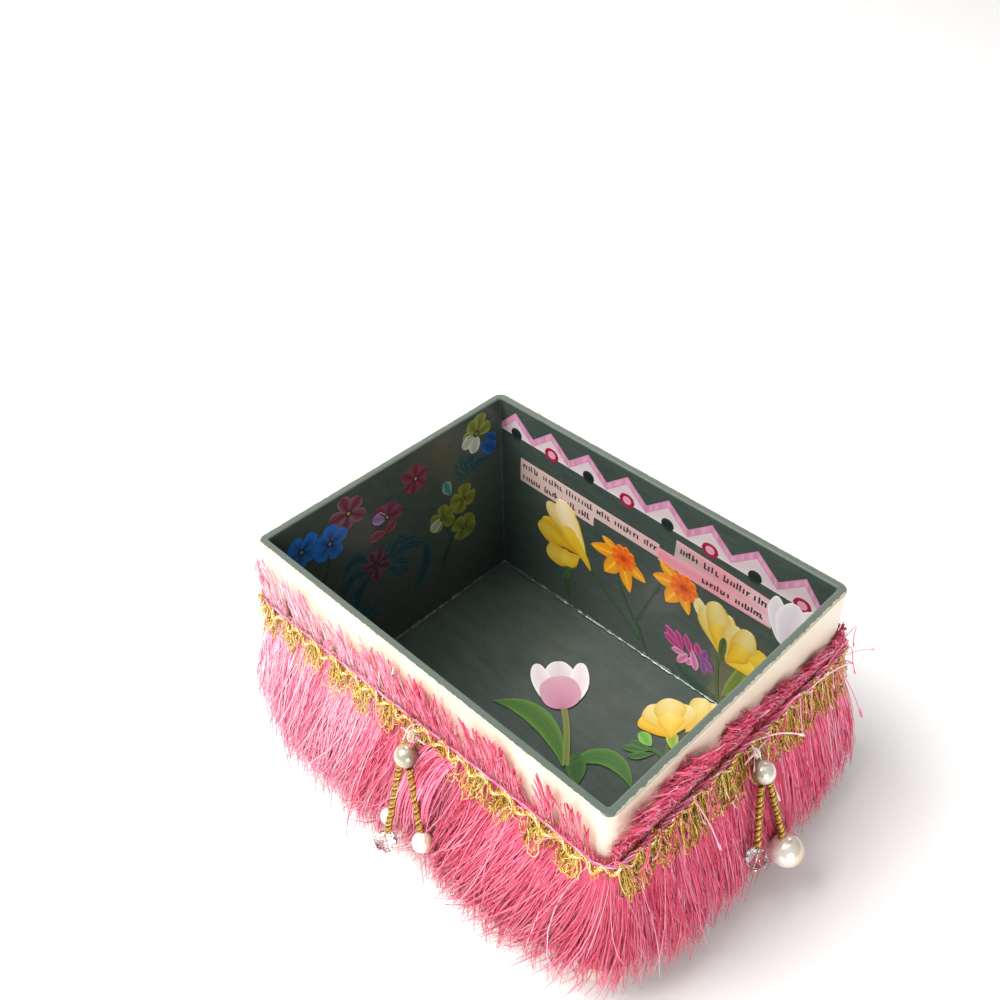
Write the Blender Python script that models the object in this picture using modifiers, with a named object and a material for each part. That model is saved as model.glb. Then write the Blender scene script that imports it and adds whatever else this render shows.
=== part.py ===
"""A small open trinket box with a fringed, looped trim and bead drops.

Everything is in metres with +Z up. The origin is the centre of the box's
underside, X runs along the long side, and the front faces -Y.
"""

import math
import random
from dataclasses import dataclass

import bmesh
import bpy
from mathutils import Vector

# Box
LENGTH = 0.120
WIDTH = 0.090
HEIGHT = 0.070
WALL = 0.0024
CORNER_RADIUS = 0.003
CORNER_STEPS = 6
RIM_ROUNDING = 0.0005
RIM_STEPS = 2
SHARP_EDGE = math.radians(40)

# Clearances between neighbouring pieces
TOUCH_GAP = 0.0003
LAYER_GAP = 0.0005

# The line along which the trim is glued, swaying a little on its way round
SEAM_DROP = 0.017
SEAM_SWAY = 0.0025
SWAYS_PER_LAP = 2

# Distance from the wall at which the trim's columns are evenly spaced
FAN_REACH = 0.006
HALF_LONG_RUN = LENGTH / 2 - CORNER_RADIUS
HALF_SHORT_RUN = WIDTH / 2 - CORNER_RADIUS
CORNER_RUN = (CORNER_RADIUS + FAN_REACH) * math.pi / 2
LAP_LENGTH = 4 * (HALF_LONG_RUN + HALF_SHORT_RUN + CORNER_RUN)

# Fringe
HEADING_THICKNESS = 0.0008
FLARE_LONG = 0.0135
FLARE_SHORT = 0.0125
CORNER_REACH = 0.012
HEM_LONG = 0.013
HEM_SHORT = 0.0105
PARTING_REACH = 0.008
FALL_ARC = 1.25
FALL_LAG = 1.3
FRINGE_BULK = 0.0045
LOCKS = 34
COLUMNS_PER_LOCK = 4
LOCK_DEPTH = 0.0014
LOCK_START = 0.4
HEM_UNEVEN = 0.0025
OUTER_FALLS = (0.0, 0.2, 0.45, 0.72, 1.0)
INNER_FALLS = (0.97, 0.6, 0.25, 0.0)

# How much the skirt is tucked in at each corner, told by the signs of its X
# and Y
CORNER_TUCKS = ((-1, -1, 0.42), (1, -1, 0.42), (1, 1, 0.15), (-1, 1, 0.35))

# Loop braid
LOOPS = 38
LOOP_STEPS = 6
BRAID_TOP = 0.0010
BRAID_BAND = 0.0032
BRAID_WAVE = 0.0005
BRAID_THICKNESS = 0.0008
LOOP_DEPTH = 0.0085
LOOP_WIDTH = 0.0028
LOOP_FOOT = 0.27
LOOP_UNEVEN = 0.18

# Seam cord
SEAM_CORD_RADIUS = 0.0008
SEAM_CORD_STANDOFF = 0.0003
STRAIGHT_STEPS = 5
CORNER_CORD_STEPS = 5

# Tufts above the seam
TUFTS = 2 * LOOPS
TUFT_THICKNESS = 0.0012
TUFT_STRIP = 0.0018
TUFT_STANDOFF = 0.0006
TUFT_SHOULDER = 0.45
TUFT_HEIGHT = 0.0105
TUFT_UNEVEN = 0.25
TUFT_LEAN = 0.30
TUFT_TILT = 0.25
TUFT_MARGIN = 0.15

# Bead drops
KNOT_RADIUS = 0.0016
SMALL_PEARL_RADIUS = 0.0030
LARGE_PEARL_RADIUS = 0.0043
SIDE_PEARL_RADIUS = 0.0027
CRYSTAL_RADIUS = 0.0030
CORD_RADIUS = 0.0011
CORD_LOBE = 0.0003
CORD_TURN = 0.0064
CORD_ROWS = 12
CORD_SIDES = 6
CORD_STEPS = 5
REST_STEPS = 4
PIN_HEAD_RADIUS = 0.0013
PIN_HEAD_THICKNESS = 0.0005
PIN_HEAD_SIDES = 10
KNOT_DROP = 0.0022
PEARL_PITCH = KNOT_RADIUS + SMALL_PEARL_RADIUS + TOUCH_GAP

# Faces round and down a bead
FINE_BALL = (10, 7)
COARSE_BALL = (8, 5)

FRONT = Vector((0, -1))
RIGHT = Vector((1, 0))
BACK = Vector((0, 1))
LEFT = Vector((-1, 0))


@dataclass
class Strand:
    """A cord of a drop: its end bead, how far along the side and how high."""

    along: float
    height: float
    bead: str


@dataclass
class Drop:
    """A bead drop on one side.

    along is where its knot and small pearl sit, from the middle of the side
    towards the right as one faces it. The fringe parts behind it, by a share
    of its flare, at parted_at.
    """

    side: Vector
    along: float
    parting: float
    parted_at: float
    strands: tuple


LONG_STRAND = Strand(along=0.0, height=0.0185, bead="large_pearl")
DROPS = {
    "front": Drop(
        side=FRONT,
        along=0.0045,
        parting=0.34,
        parted_at=0.0095,
        strands=(
            Strand(along=0.0022, height=0.0165, bead="crystal"),
            Strand(along=0.0130, height=0.0240, bead="side_pearl"),
        ),
    ),
    "right": Drop(
        side=RIGHT,
        along=0.0025,
        parting=0.05,
        parted_at=0.0010,
        strands=(
            Strand(along=-0.0040, height=0.0235, bead="crystal"),
            Strand(along=0.0060, height=0.0185, bead="large_pearl"),
        ),
    ),
    "back": Drop(side=BACK, along=0.0, parting=0.10, parted_at=0.0, strands=(LONG_STRAND,)),
    "left": Drop(side=LEFT, along=0.0, parting=0.10, parted_at=0.0, strands=(LONG_STRAND,)),
}


def clear_scene():
    """Start from an empty scene."""
    for old in list(bpy.data.objects):
        bpy.data.objects.remove(old, do_unlink=True)


def new_collection(name):
    """A collection that hangs in the scene."""
    collection = bpy.data.collections.new(name)
    bpy.context.scene.collection.children.link(collection)
    return collection


def material(name, colour, roughness, metallic=0.0, transmission=0.0):
    """A Principled material with one plain colour."""
    made = bpy.data.materials.new(name)
    made.use_nodes = True
    shader = made.node_tree.nodes["Principled BSDF"]
    shader.inputs["Base Color"].default_value = (*colour, 1.0)
    shader.inputs["Roughness"].default_value = roughness
    shader.inputs["Metallic"].default_value = metallic
    shader.inputs["Transmission Weight"].default_value = transmission
    return made


def add_object(name, mesh, surface, smooth=False):
    """Put a mesh in the part's collection under its own name."""
    mesh.materials.append(surface)
    if smooth:
        mesh.shade_smooth()
    made = bpy.data.objects.new(name, mesh)
    PARTS.objects.link(made)
    return made


def mesh_from(name, work):
    """Turn a bmesh into a mesh whose faces point out."""
    bmesh.ops.recalc_face_normals(work, faces=work.faces)
    mesh = bpy.data.meshes.new(name)
    work.to_mesh(mesh)
    work.free()
    return mesh


def place_at(lap):
    """The foot on the wall and the way out of it, at a share of one lap.

    The lap starts at the left end of the front and passes the front, the
    right, the back and the left. It is measured some way outside the walls,
    so that places fan out evenly round the corners.
    """
    distance = (lap % 1.0) * LAP_LENGTH
    for turn in range(4):
        heading = Vector((math.cos(turn * math.pi / 2), math.sin(turn * math.pi / 2)))
        out = Vector((heading.y, -heading.x))
        long_side = turn % 2 == 0
        half_run = HALF_LONG_RUN if long_side else HALF_SHORT_RUN
        across = (WIDTH if long_side else LENGTH) / 2
        if distance <= 2 * half_run:
            return heading * (distance - half_run) + out * across, out
        distance -= 2 * half_run
        if distance <= CORNER_RUN:
            centre = heading * half_run + out * (across - CORNER_RADIUS)
            angle = math.pi / 2 * distance / CORNER_RUN
            out = out * math.cos(angle) + heading * math.sin(angle)
            return centre + out * CORNER_RADIUS, out
        distance -= CORNER_RUN
    return place_at(0.0)


def foot_beside(side, along):
    """The foot on one side's wall, at a distance along it from its middle."""
    across = WIDTH if abs(side.y) > 0.5 else LENGTH
    return side * across / 2 + Vector((-side.y, side.x)) * along


def lap_beside(side, along):
    """The share of a lap at a distance along one side from its middle."""
    turn = round(math.atan2(side.x, -side.y) / (math.pi / 2)) % 4
    half_run = HALF_LONG_RUN if turn % 2 == 0 else HALF_SHORT_RUN
    before = turn * (HALF_LONG_RUN + HALF_SHORT_RUN + CORNER_RUN)
    if turn % 2 == 1:
        before += HALF_LONG_RUN - HALF_SHORT_RUN
    return (before + half_run + along) / LAP_LENGTH


def seam_height(lap):
    """Height of the glue line, which sways on its way round."""
    return HEIGHT - SEAM_DROP - SEAM_SWAY * math.cos(2 * math.pi * SWAYS_PER_LAP * lap)


def hem_height(out):
    """Height of the fringe's hem on the side that faces out."""
    return HEM_LONG * out.y**2 + HEM_SHORT * out.x**2


def flare(foot, out):
    """How far the hem stands out, less round a corner and behind a drop."""
    side_flare = FLARE_LONG * out.y**2 + FLARE_SHORT * out.x**2
    share = 1.0
    for x_sign, y_sign, tuck in CORNER_TUCKS:
        to_corner = math.hypot(x_sign * LENGTH / 2 - foot.x, y_sign * WIDTH / 2 - foot.y)
        share *= 1 - tuck * math.exp(-((to_corner / CORNER_REACH) ** 2))
    for drop in DROPS.values():
        to_drop = (foot - foot_beside(drop.side, drop.parted_at)).length
        share *= 1 - drop.parting * math.exp(-((to_drop / PARTING_REACH) ** 2))
    return side_flare * share


def fringe_offset(lap, foot, out, height):
    """Distance from the wall to the fringe's outer face at a height."""
    top = seam_height(lap)
    fall = min(1.0, max(0.0, (top - height) / (top - hem_height(out))))
    bend = (math.sin(FALL_ARC * fall) / math.sin(FALL_ARC)) ** FALL_LAG
    return TOUCH_GAP + HEADING_THICKNESS + flare(foot, out) * bend


def point_out(foot, out, offset, height):
    """A point in space, offset from a foot on the wall and at a height."""
    flat = foot + out * offset
    return Vector((flat.x, flat.y, height))


def ring_solid(name, laps, section, surface):
    """A closed ring round the box, lofted through one section at each place."""
    work = bmesh.new()
    rows = []
    for lap in laps:
        foot, out = place_at(lap)
        rows.append([work.verts.new(point_out(foot, out, *corner)) for corner in section(lap, foot, out)])
    for row, following in zip(rows, rows[1:] + rows[:1]):
        for index in range(len(row)):
            after = (index + 1) % len(row)
            work.faces.new((row[index], row[after], following[after], following[index]))
    return add_object(name, mesh_from(name, work), surface, smooth=True)


def make_box():
    """The rigid box: an open rounded shell, thickened inwards."""
    work = bmesh.new()
    bmesh.ops.create_cube(work, size=1.0)
    bmesh.ops.scale(work, vec=(LENGTH, WIDTH, HEIGHT), verts=work.verts)
    bmesh.ops.translate(work, vec=(0, 0, HEIGHT / 2), verts=work.verts)
    upright = [edge for edge in work.edges if abs(edge.verts[0].co.z - edge.verts[1].co.z) > HEIGHT / 2]
    top = [face for face in work.faces if face.normal.z > 0.5]
    bmesh.ops.delete(work, geom=top, context="FACES_ONLY")
    bmesh.ops.bevel(
        work,
        geom=upright,
        offset=CORNER_RADIUS,
        segments=CORNER_STEPS,
        profile=0.5,
        affect="EDGES",
    )
    mesh = bpy.data.meshes.new("box")
    work.to_mesh(mesh)
    work.free()
    made = add_object("box", mesh, material("painted_board", (0.92, 0.88, 0.80), 0.35))
    shell = made.modifiers.new("wall", "SOLIDIFY")
    shell.thickness = WALL
    shell.offset = -1
    shell.use_even_offset = True
    soft = made.modifiers.new("rounding", "BEVEL")
    soft.width = RIM_ROUNDING
    soft.segments = RIM_STEPS
    soft.limit_method = "ANGLE"
    soft.angle_limit = SHARP_EDGE
    return made


def make_fringe():
    """The silk fringe: a flared skirt whose locks end in an uneven hem."""
    draw = random.Random(4)
    hem_drops = [draw.uniform(-HEM_UNEVEN, HEM_UNEVEN) for _ in range(LOCKS)]

    def section(lap, foot, out):
        """Outer face from the heading down, then the inner face back up."""
        lock, column = divmod(round(lap * LOCKS * COLUMNS_PER_LOCK), COLUMNS_PER_LOCK)
        swell = math.sin(math.pi * column / COLUMNS_PER_LOCK)
        top = seam_height(lap)
        drop = top - hem_height(out) - hem_drops[lock] * swell
        corners = []
        for fall in OUTER_FALLS:
            height = top - drop * fall
            ramp = max(0.0, fall - LOCK_START) / (1 - LOCK_START)
            groove = LOCK_DEPTH * ramp * (swell - 1)
            corners.append((fringe_offset(lap, foot, out, height) + groove, height))
        for fall in INNER_FALLS:
            height = top - drop * fall
            offset = fringe_offset(lap, foot, out, height) - HEADING_THICKNESS - FRINGE_BULK * fall
            corners.append((max(TOUCH_GAP, offset), height))
        return corners

    count = LOCKS * COLUMNS_PER_LOCK
    laps = [index / count for index in range(count)]
    silk = material("pink_silk", (0.87, 0.30, 0.48), 0.45)
    return ring_solid("fringe", laps, section, silk)


def thickened(name, work, thickness, surface):
    """An object from an open surface, thickened away from the box."""
    for face in work.faces:
        face.normal_update()
        if face.normal.to_2d().dot(face.calc_center_median().to_2d()) < 0:
            face.normal_flip()
    mesh = bpy.data.meshes.new(name)
    work.to_mesh(mesh)
    work.free()
    made = add_object(name, mesh, surface)
    layer = made.modifiers.new("layer", "SOLIDIFY")
    layer.thickness = thickness
    layer.offset = 1
    layer.use_even_offset = False
    return made


def braid_vertex(work, lap, drop):
    """A vertex of the braid, lying on the fringe a drop below the seam."""
    foot, out = place_at(lap)
    height = seam_height(lap) - drop
    offset = fringe_offset(lap, foot, out, height) + LAYER_GAP
    return work.verts.new(point_out(foot, out, offset, height))


def make_loop_braid():
    """The gold braid: a wavy band from which open loops hang."""
    draw = random.Random(11)
    work = bmesh.new()
    feet = (0.0, LOOP_FOOT, 1 - LOOP_FOOT)
    tops, bottoms = [], []
    for index in range(LOOPS):
        for foot_share in feet:
            lap = (index + foot_share) / LOOPS
            wave = BRAID_WAVE * math.cos(4 * math.pi * foot_share)
            tops.append(braid_vertex(work, lap, BRAID_TOP - wave))
            bottoms.append(braid_vertex(work, lap, BRAID_BAND))
    count = len(tops)
    for index in range(count):
        after = (index + 1) % count
        work.faces.new((tops[index], tops[after], bottoms[after], bottoms[index]))
    for index in range(LOOPS):
        depth = LOOP_DEPTH * (1 + draw.uniform(-LOOP_UNEVEN, LOOP_UNEVEN))
        first = index * len(feet)
        outer = [bottoms[first]]
        inner = [bottoms[first + 1]]
        for step in range(1, LOOP_STEPS):
            angle = math.pi * step / LOOP_STEPS
            swing = 0.5 - 0.5 * math.cos(angle)
            narrow = 0.5 - (0.5 - LOOP_FOOT) * math.cos(angle)
            outer.append(braid_vertex(work, (index + swing) / LOOPS, BRAID_BAND + depth * math.sin(angle)))
            inside = (depth - LOOP_WIDTH) * math.sin(angle)
            inner.append(braid_vertex(work, (index + narrow) / LOOPS, BRAID_BAND + inside))
        outer.append(bottoms[(first + 3) % count])
        inner.append(bottoms[first + 2])
        for step in range(LOOP_STEPS):
            work.faces.new((outer[step], outer[step + 1], inner[step + 1], inner[step]))
    gold = material("gold_thread", (0.78, 0.58, 0.20), 0.35, metallic=0.6)
    return thickened("loop_braid", work, BRAID_THICKNESS, gold)


def tuft_vertex(work, lap, rise):
    """A vertex of the tufts, which lean away from the wall as they rise."""
    foot, out = place_at(lap)
    offset = TUFT_STANDOFF + TUFT_LEAN * rise
    return work.verts.new(point_out(foot, out, offset, seam_height(lap) + TOUCH_GAP + rise))


def make_tuft_trim():
    """The row of short tufts that stand up above the seam."""
    draw = random.Random(23)
    work = bmesh.new()
    lower = [tuft_vertex(work, index / TUFTS, 0.0) for index in range(TUFTS)]
    upper = [tuft_vertex(work, index / TUFTS, TUFT_STRIP) for index in range(TUFTS)]
    for index in range(TUFTS):
        after = (index + 1) % TUFTS
        work.faces.new((lower[index], lower[after], upper[after], upper[index]))
        height = TUFT_HEIGHT * (1 + draw.uniform(-TUFT_UNEVEN, TUFT_UNEVEN))
        tilt = draw.uniform(-TUFT_TILT, TUFT_TILT)
        shoulder = height * TUFT_SHOULDER
        start = index + tilt * TUFT_SHOULDER
        left = tuft_vertex(work, (start + TUFT_MARGIN) / TUFTS, shoulder)
        right = tuft_vertex(work, (start + 1 - TUFT_MARGIN) / TUFTS, shoulder)
        tip = tuft_vertex(work, (index + tilt + 1 / 2) / TUFTS, height)
        work.faces.new((upper[index], upper[after], right, left))
        work.faces.new((left, right, tip))
    rose = material("rose_thread", (0.80, 0.15, 0.33), 0.5)
    return thickened("tuft_trim", work, TUFT_THICKNESS, rose)


def laps_by_stretch(straight_steps, corner_steps):
    """Places round the box, with a number of steps to each side and corner."""
    laps = []
    start = 0.0
    for turn in range(4):
        half_run = HALF_LONG_RUN if turn % 2 == 0 else HALF_SHORT_RUN
        for run, steps in ((2 * half_run, straight_steps), (CORNER_RUN, corner_steps)):
            laps += [(start + run * step / steps) / LAP_LENGTH for step in range(steps)]
            start += run
    return laps


def make_seam_cord():
    """The thin cord that hides the seam between the tufts and the braid."""
    radius = SEAM_CORD_RADIUS
    offset = TUFT_STANDOFF + TUFT_THICKNESS + TUFT_LEAN * radius + SEAM_CORD_STANDOFF + radius
    laps = laps_by_stretch(STRAIGHT_STEPS, CORNER_CORD_STEPS)
    curve = bpy.data.curves.new("seam_cord", "CURVE")
    curve.dimensions = "3D"
    curve.bevel_depth = radius
    curve.bevel_resolution = 1
    line = curve.splines.new("POLY")
    line.points.add(len(laps) - 1)
    line.use_cyclic_u = True
    for lap, point in zip(laps, line.points):
        foot, out = place_at(lap)
        point.co = (*point_out(foot, out, offset, seam_height(lap) + radius / 2), 1.0)
    curve.materials.append(material("lilac_cord", (0.80, 0.42, 0.62), 0.5))
    made = bpy.data.objects.new("seam_cord", curve)
    PARTS.objects.link(made)
    return made


def cover_offset(lap, foot, out, height):
    """Distance from the wall to the outermost trim at a height."""
    offset = fringe_offset(lap, foot, out, height)
    if height > seam_height(lap) - BRAID_BAND - LOOP_DEPTH * (1 + LOOP_UNEVEN):
        offset += LAYER_GAP + BRAID_THICKNESS
    return offset


def resting_point(side, along, height, radius):
    """The centre of a round piece that lies on the trim of one side.

    side is the way out of the wall, and along is measured from the middle of
    the side towards the right as one faces it from outside.
    """
    foot = foot_beside(side, along)
    lap = lap_beside(side, along)
    offset = 0.0
    for step in range(-REST_STEPS, REST_STEPS + 1):
        lift = radius * step / REST_STEPS
        clear = cover_offset(lap, foot, side, height + lift) + math.sqrt(radius**2 - lift**2)
        offset = max(offset, clear + TOUCH_GAP)
    return point_out(foot, side, offset, height)


def make_ball(name, centre, radius, surface, faces=FINE_BALL, smooth=True):
    """A round bead."""
    segments, rings = faces
    work = bmesh.new()
    bmesh.ops.create_uvsphere(work, u_segments=segments, v_segments=rings, radius=radius)
    made = add_object(name, mesh_from(name, work), surface, smooth=smooth)
    made.location = centre
    return made


def make_pin_head(name, centre, surface):
    """The flat head of the pin on which a crystal is threaded."""
    work = bmesh.new()
    bmesh.ops.create_cone(
        work,
        cap_ends=True,
        segments=PIN_HEAD_SIDES,
        radius1=PIN_HEAD_RADIUS,
        radius2=PIN_HEAD_RADIUS,
        depth=PIN_HEAD_THICKNESS,
    )
    made = add_object(name, mesh_from(name, work), surface)
    made.location = centre
    return made


def cord_route(side, above, above_radius, below, below_radius, sideways):
    """Points of a cord between two beads, lifted where the trim is in its way.

    It leaves the upper bead a distance sideways of the bead's middle, so that
    cords which share a bead hang side by side.
    """
    heading = Vector((-side.y, side.x))
    across = heading.to_3d()
    way = below - above
    down = (way - across * way.dot(across)).normalized()
    start = above + across * sideways + down * math.sqrt((above_radius + TOUCH_GAP) ** 2 - sideways**2)
    end = below - (below - start).normalized() * (below_radius + TOUCH_GAP)
    route = []
    for step in range(CORD_STEPS + 1):
        point = start.lerp(end, step / CORD_STEPS)
        resting = resting_point(side, point.to_2d().dot(heading), point.z, CORD_RADIUS)
        if resting.to_2d().dot(side) > point.to_2d().dot(side):
            point = resting
        route.append(point)
    return route


def make_cord(name, route, surface):
    """A twisted cord along a route: a section of two lobes that turns."""
    work = bmesh.new()
    length = (route[-1] - route[0]).length
    rows = []
    for row in range(CORD_ROWS):
        share = row / (CORD_ROWS - 1)
        reach = share * (len(route) - 1)
        step = min(int(reach), len(route) - 2)
        centre = route[step].lerp(route[step + 1], reach - step)
        along = (route[-1] - route[0]).normalized()
        first = along.orthogonal().normalized()
        second = along.cross(first)
        ring = []
        for corner in range(CORD_SIDES):
            angle = 2 * math.pi * corner / CORD_SIDES
            lobe = math.sin(angle - 2 * math.pi * share * length / CORD_TURN) ** 2
            spoke = first * math.cos(angle) + second * math.sin(angle)
            ring.append(work.verts.new(centre + spoke * (CORD_RADIUS - CORD_LOBE * lobe)))
        rows.append(ring)
    for ring, following in zip(rows, rows[1:]):
        for corner in range(CORD_SIDES):
            after = (corner + 1) % CORD_SIDES
            work.faces.new((ring[corner], ring[after], following[after], following[corner]))
    work.faces.new(rows[0])
    work.faces.new(rows[-1])
    return add_object(name, mesh_from(name, work), surface, smooth=True)


def make_drops():
    """The bead drops that hang from the middle of each side."""
    pearl = material("pearl", (0.93, 0.90, 0.84), 0.2)
    gold = material("gold_cord", (0.62, 0.45, 0.14), 0.4, metallic=0.6)
    silver = material("pale_knot", (0.86, 0.83, 0.80), 0.35, metallic=0.3)
    crystal = material("crystal", (0.95, 0.96, 1.0), 0.05, transmission=1.0)
    brass = material("brass_pin", (0.75, 0.60, 0.30), 0.3, metallic=1.0)
    beads = {
        "large_pearl": (LARGE_PEARL_RADIUS, pearl, FINE_BALL, True),
        "side_pearl": (SIDE_PEARL_RADIUS, pearl, FINE_BALL, True),
        "crystal": (CRYSTAL_RADIUS, crystal, COARSE_BALL, False),
    }
    for label, drop in DROPS.items():
        height = seam_height(lap_beside(drop.side, drop.along)) - KNOT_DROP
        knot = resting_point(drop.side, drop.along, height, KNOT_RADIUS)
        make_ball(f"{label}_knot", knot, KNOT_RADIUS, silver, COARSE_BALL)
        top = resting_point(drop.side, drop.along, height - PEARL_PITCH, SMALL_PEARL_RADIUS)
        make_ball(f"{label}_small_pearl", top, SMALL_PEARL_RADIUS, pearl)
        for place, strand in enumerate(drop.strands):
            radius, surface, faces, smooth = beads[strand.bead]
            end = resting_point(drop.side, strand.along, strand.height, radius)
            make_ball(f"{label}_{strand.bead}", end, radius, surface, faces, smooth)
            sideways = (2 * place - len(drop.strands) + 1) * (CORD_RADIUS + TOUCH_GAP)
            route = cord_route(drop.side, top, SMALL_PEARL_RADIUS, end, radius, sideways)
            make_cord(f"{label}_{strand.bead}_cord", route, gold)
            if strand.bead == "crystal":
                under = radius + TOUCH_GAP + PIN_HEAD_THICKNESS / 2
                make_pin_head(f"{label}_pin_head", end - Vector((0, 0, under)), brass)


PARTS = new_collection("trinket_box")


def main():
    """Build every piece."""
    make_box()
    make_fringe()
    make_loop_braid()
    make_tuft_trim()
    make_seam_cord()
    make_drops()


clear_scene()
main()
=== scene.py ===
"""Looks for the fringed trinket box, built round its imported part.

Everything is in metres with +Z up. The origin is the centre of the box's
underside, X runs along the long side, and the front faces -Y.
"""

import math
import random

import bpy
import numpy as np
from mathutils import Matrix, Vector


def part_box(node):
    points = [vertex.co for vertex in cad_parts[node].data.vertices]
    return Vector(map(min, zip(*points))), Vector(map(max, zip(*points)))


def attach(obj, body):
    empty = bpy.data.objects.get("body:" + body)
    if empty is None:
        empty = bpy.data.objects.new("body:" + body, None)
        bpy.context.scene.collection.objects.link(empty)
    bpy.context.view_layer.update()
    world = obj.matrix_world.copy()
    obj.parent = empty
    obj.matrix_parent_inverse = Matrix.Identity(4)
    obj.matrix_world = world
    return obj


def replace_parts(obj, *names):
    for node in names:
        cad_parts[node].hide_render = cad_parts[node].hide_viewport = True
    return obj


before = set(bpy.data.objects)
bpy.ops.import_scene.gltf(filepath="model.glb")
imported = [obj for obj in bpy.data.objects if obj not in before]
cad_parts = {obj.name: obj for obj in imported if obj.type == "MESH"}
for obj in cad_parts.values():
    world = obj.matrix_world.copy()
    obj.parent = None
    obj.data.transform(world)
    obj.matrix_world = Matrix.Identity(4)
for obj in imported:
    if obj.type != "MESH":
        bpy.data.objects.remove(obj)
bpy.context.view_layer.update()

# Box
BOX_LOW, BOX_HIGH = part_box("box")
LENGTH = BOX_HIGH.x - BOX_LOW.x
WIDTH = BOX_HIGH.y - BOX_LOW.y
HEIGHT = BOX_HIGH.z - BOX_LOW.z
WALL = 0.0024
CORNER_RADIUS = 0.003

# Where the grey paint ends on the rim
PAINT_LAP = 0.0004
PAINT_MARGIN = 0.0005
PAINT_WANDER = 0.0003

# The fillet of varnish along the inner corners
VARNISH = 0.0005
VARNISH_SKIN = 0.00002
VARNISH_STEPS = 120

# The line along which the trim is glued
SEAM_DROP = 0.017
SEAM_SWAY = 0.0025
SWAYS_PER_LAP = 2
FAN_REACH = 0.006
HALF_LONG_RUN = LENGTH / 2 - CORNER_RADIUS
HALF_SHORT_RUN = WIDTH / 2 - CORNER_RADIUS
CORNER_RUN = (CORNER_RADIUS + FAN_REACH) * math.pi / 2
LAP_LENGTH = 4 * (HALF_LONG_RUN + HALF_SHORT_RUN + CORNER_RUN)
FRONT_END = 2 * HALF_LONG_RUN / LAP_LENGTH
RIGHT_START = FRONT_END + CORNER_RUN / LAP_LENGTH
RIGHT_END = RIGHT_START + 2 * HALF_SHORT_RUN / LAP_LENGTH

# The skirt of the fringe
HEADING_THICKNESS = 0.0008
FLARE_LONG = 0.0135
FLARE_SHORT = 0.0125
CORNER_REACH = 0.012
HEM_LONG = 0.013
HEM_SHORT = 0.0105
PARTING_REACH = 0.008
FALL_ARC = 1.25
FALL_LAG = 1.3
FRINGE_BULK = 0.0045
LOCKS = 34
HEM_UNEVEN = 0.0022

# Signs of each corner's X and Y, and how much the skirt is tucked in there
CORNER_TUCKS = ((-1, -1, 0.42), (1, -1, 0.42), (1, 1, 0.15), (-1, 1, 0.35))

# The way out of each side, how far along the side its drop hangs, and how
# much the skirt is tucked in behind the drop
PARTINGS = ((0, -1, 0.0095, 0.34), (1, 0, 0.0010, 0.05), (0, 1, 0.0, 0.10), (-1, 0, 0.0, 0.10))

# Threads
THREAD_RADIUS = 0.00014
THREAD_SIZES = (0.75, 1.2)
CLUMPS = 150
GATHER = (0.1, 0.8)
DYES = ("#A3163C", "#D12E56", "#E95579", "#F482A0", "#FAB0C4", "#FDE0E8")

# How a thread of the fringe strays from a straight fall, by itself or with
# the others of its clump
THREAD_STARTS = (0.0004, 0.0018)
LEAN_STRAY = 0.085
CLUMP_LEAN = 0.07
CLUMP_REACH = 0.03
BOW = 0.0016
WAVE_TURNS = (5, 11)
WAVE_SIZES = (0.0001, 0.00045)
FLICK = 0.0013
FLICK_START = 0.7
SPLAY = (0.0002, 0.0010)
CLUMP_SPLAY = 0.0005
LEAST_STANDOFF = 0.0006

# How its colour varies
TONE_STRAY = 0.13
CLUMP_TONE = 0.07
# Deeper threads are darker: painted shade inside the fringe
SHADE_AT_DEPTH = -0.12
# A share of the threads is made paler: painted sheen highlights
SHEEN_THREADS = 0.15
SHEEN_LIFT = 0.22
HEM_START = 0.93
TONE_AT_HEM = -0.05
TONE_AT_TOP = -0.06

# Upright threads of the tufts, which swell toward a dipped tip
TUFT_SWELL = (0.0, 0.0, 0.0, 0.10, 0.70, 1.0, 0.5)
CLUB_SIZES = (1.4, 3.4)
CLUB_DIP = 0.26
SOFT_DIP = 0.10
BUNCH_WIDTH = 0.0008
BUNCH_TILT = 0.16
BUNCH_SPLAY = 0.05
TUFT_STRAY = 0.04
TUFT_UNEVEN = 0.20
TUFT_KINKS = 9
TUFT_ROOT = 0.0006
TUFT_STAND = 0.0006
TUFT_DEPTH = 0.0010
TUFT_CLEARANCE = 0.0003
TUFT_MARGIN = 0.0006
CORNER_DIP = 0.75
CORNER_DIP_REACH = 0.0055

# Loose threads, and how far the guides of loose and gold threads point up
STRAY_RADIUS = 0.00011
KNOB_RADIUS = 0.00028
KNOB_RADIUS_AT_END = 0.00015
GUIDE_RISE = 0.3
GOLD_GUIDE_RISE = 0.25

# The core of the fringe. A point of its folded outline is a share of its
# hang and a share of the fringe's bulk inward.
CORE_PLACES = 360
CORE_HANG = 0.86
CORE_TOP = 0.0012
CORE_RIPPLE = 0.0002
CORE_RIPPLES = 90
LEAST_CORE_STANDOFF = 0.0004
CORE_OUTLINE = (
    (0.0, 0.0),
    (0.25, 0.12),
    (0.5, 0.25),
    (0.75, 0.4),
    (1.0, 0.5),
    (0.97, 0.62),
    (0.5, 0.6),
    (0.0, 0.2),
)

# Pearls, whose painted reflection of the gold and painted shade grow along a way through them
PEARL_ROWS = 24
PEARL_CUT = 0.05
PEARL_HOLE = 0.11
PEARL_HOLE_HEIGHT = 0.93
REFLECTION_START = 0.42
REFLECTION_REACH = 0.95
REFLECTION_FALL = 1.3
FRONT_REFLECTION_WAY = np.array([0.66, 0.66, -0.36])
RIGHT_REFLECTION_WAY = np.array([-0.62, -0.66, -0.42])
HIDDEN_PEARL = ((-0.0002, -0.0560, 0.0205), 0.0027)

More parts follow.
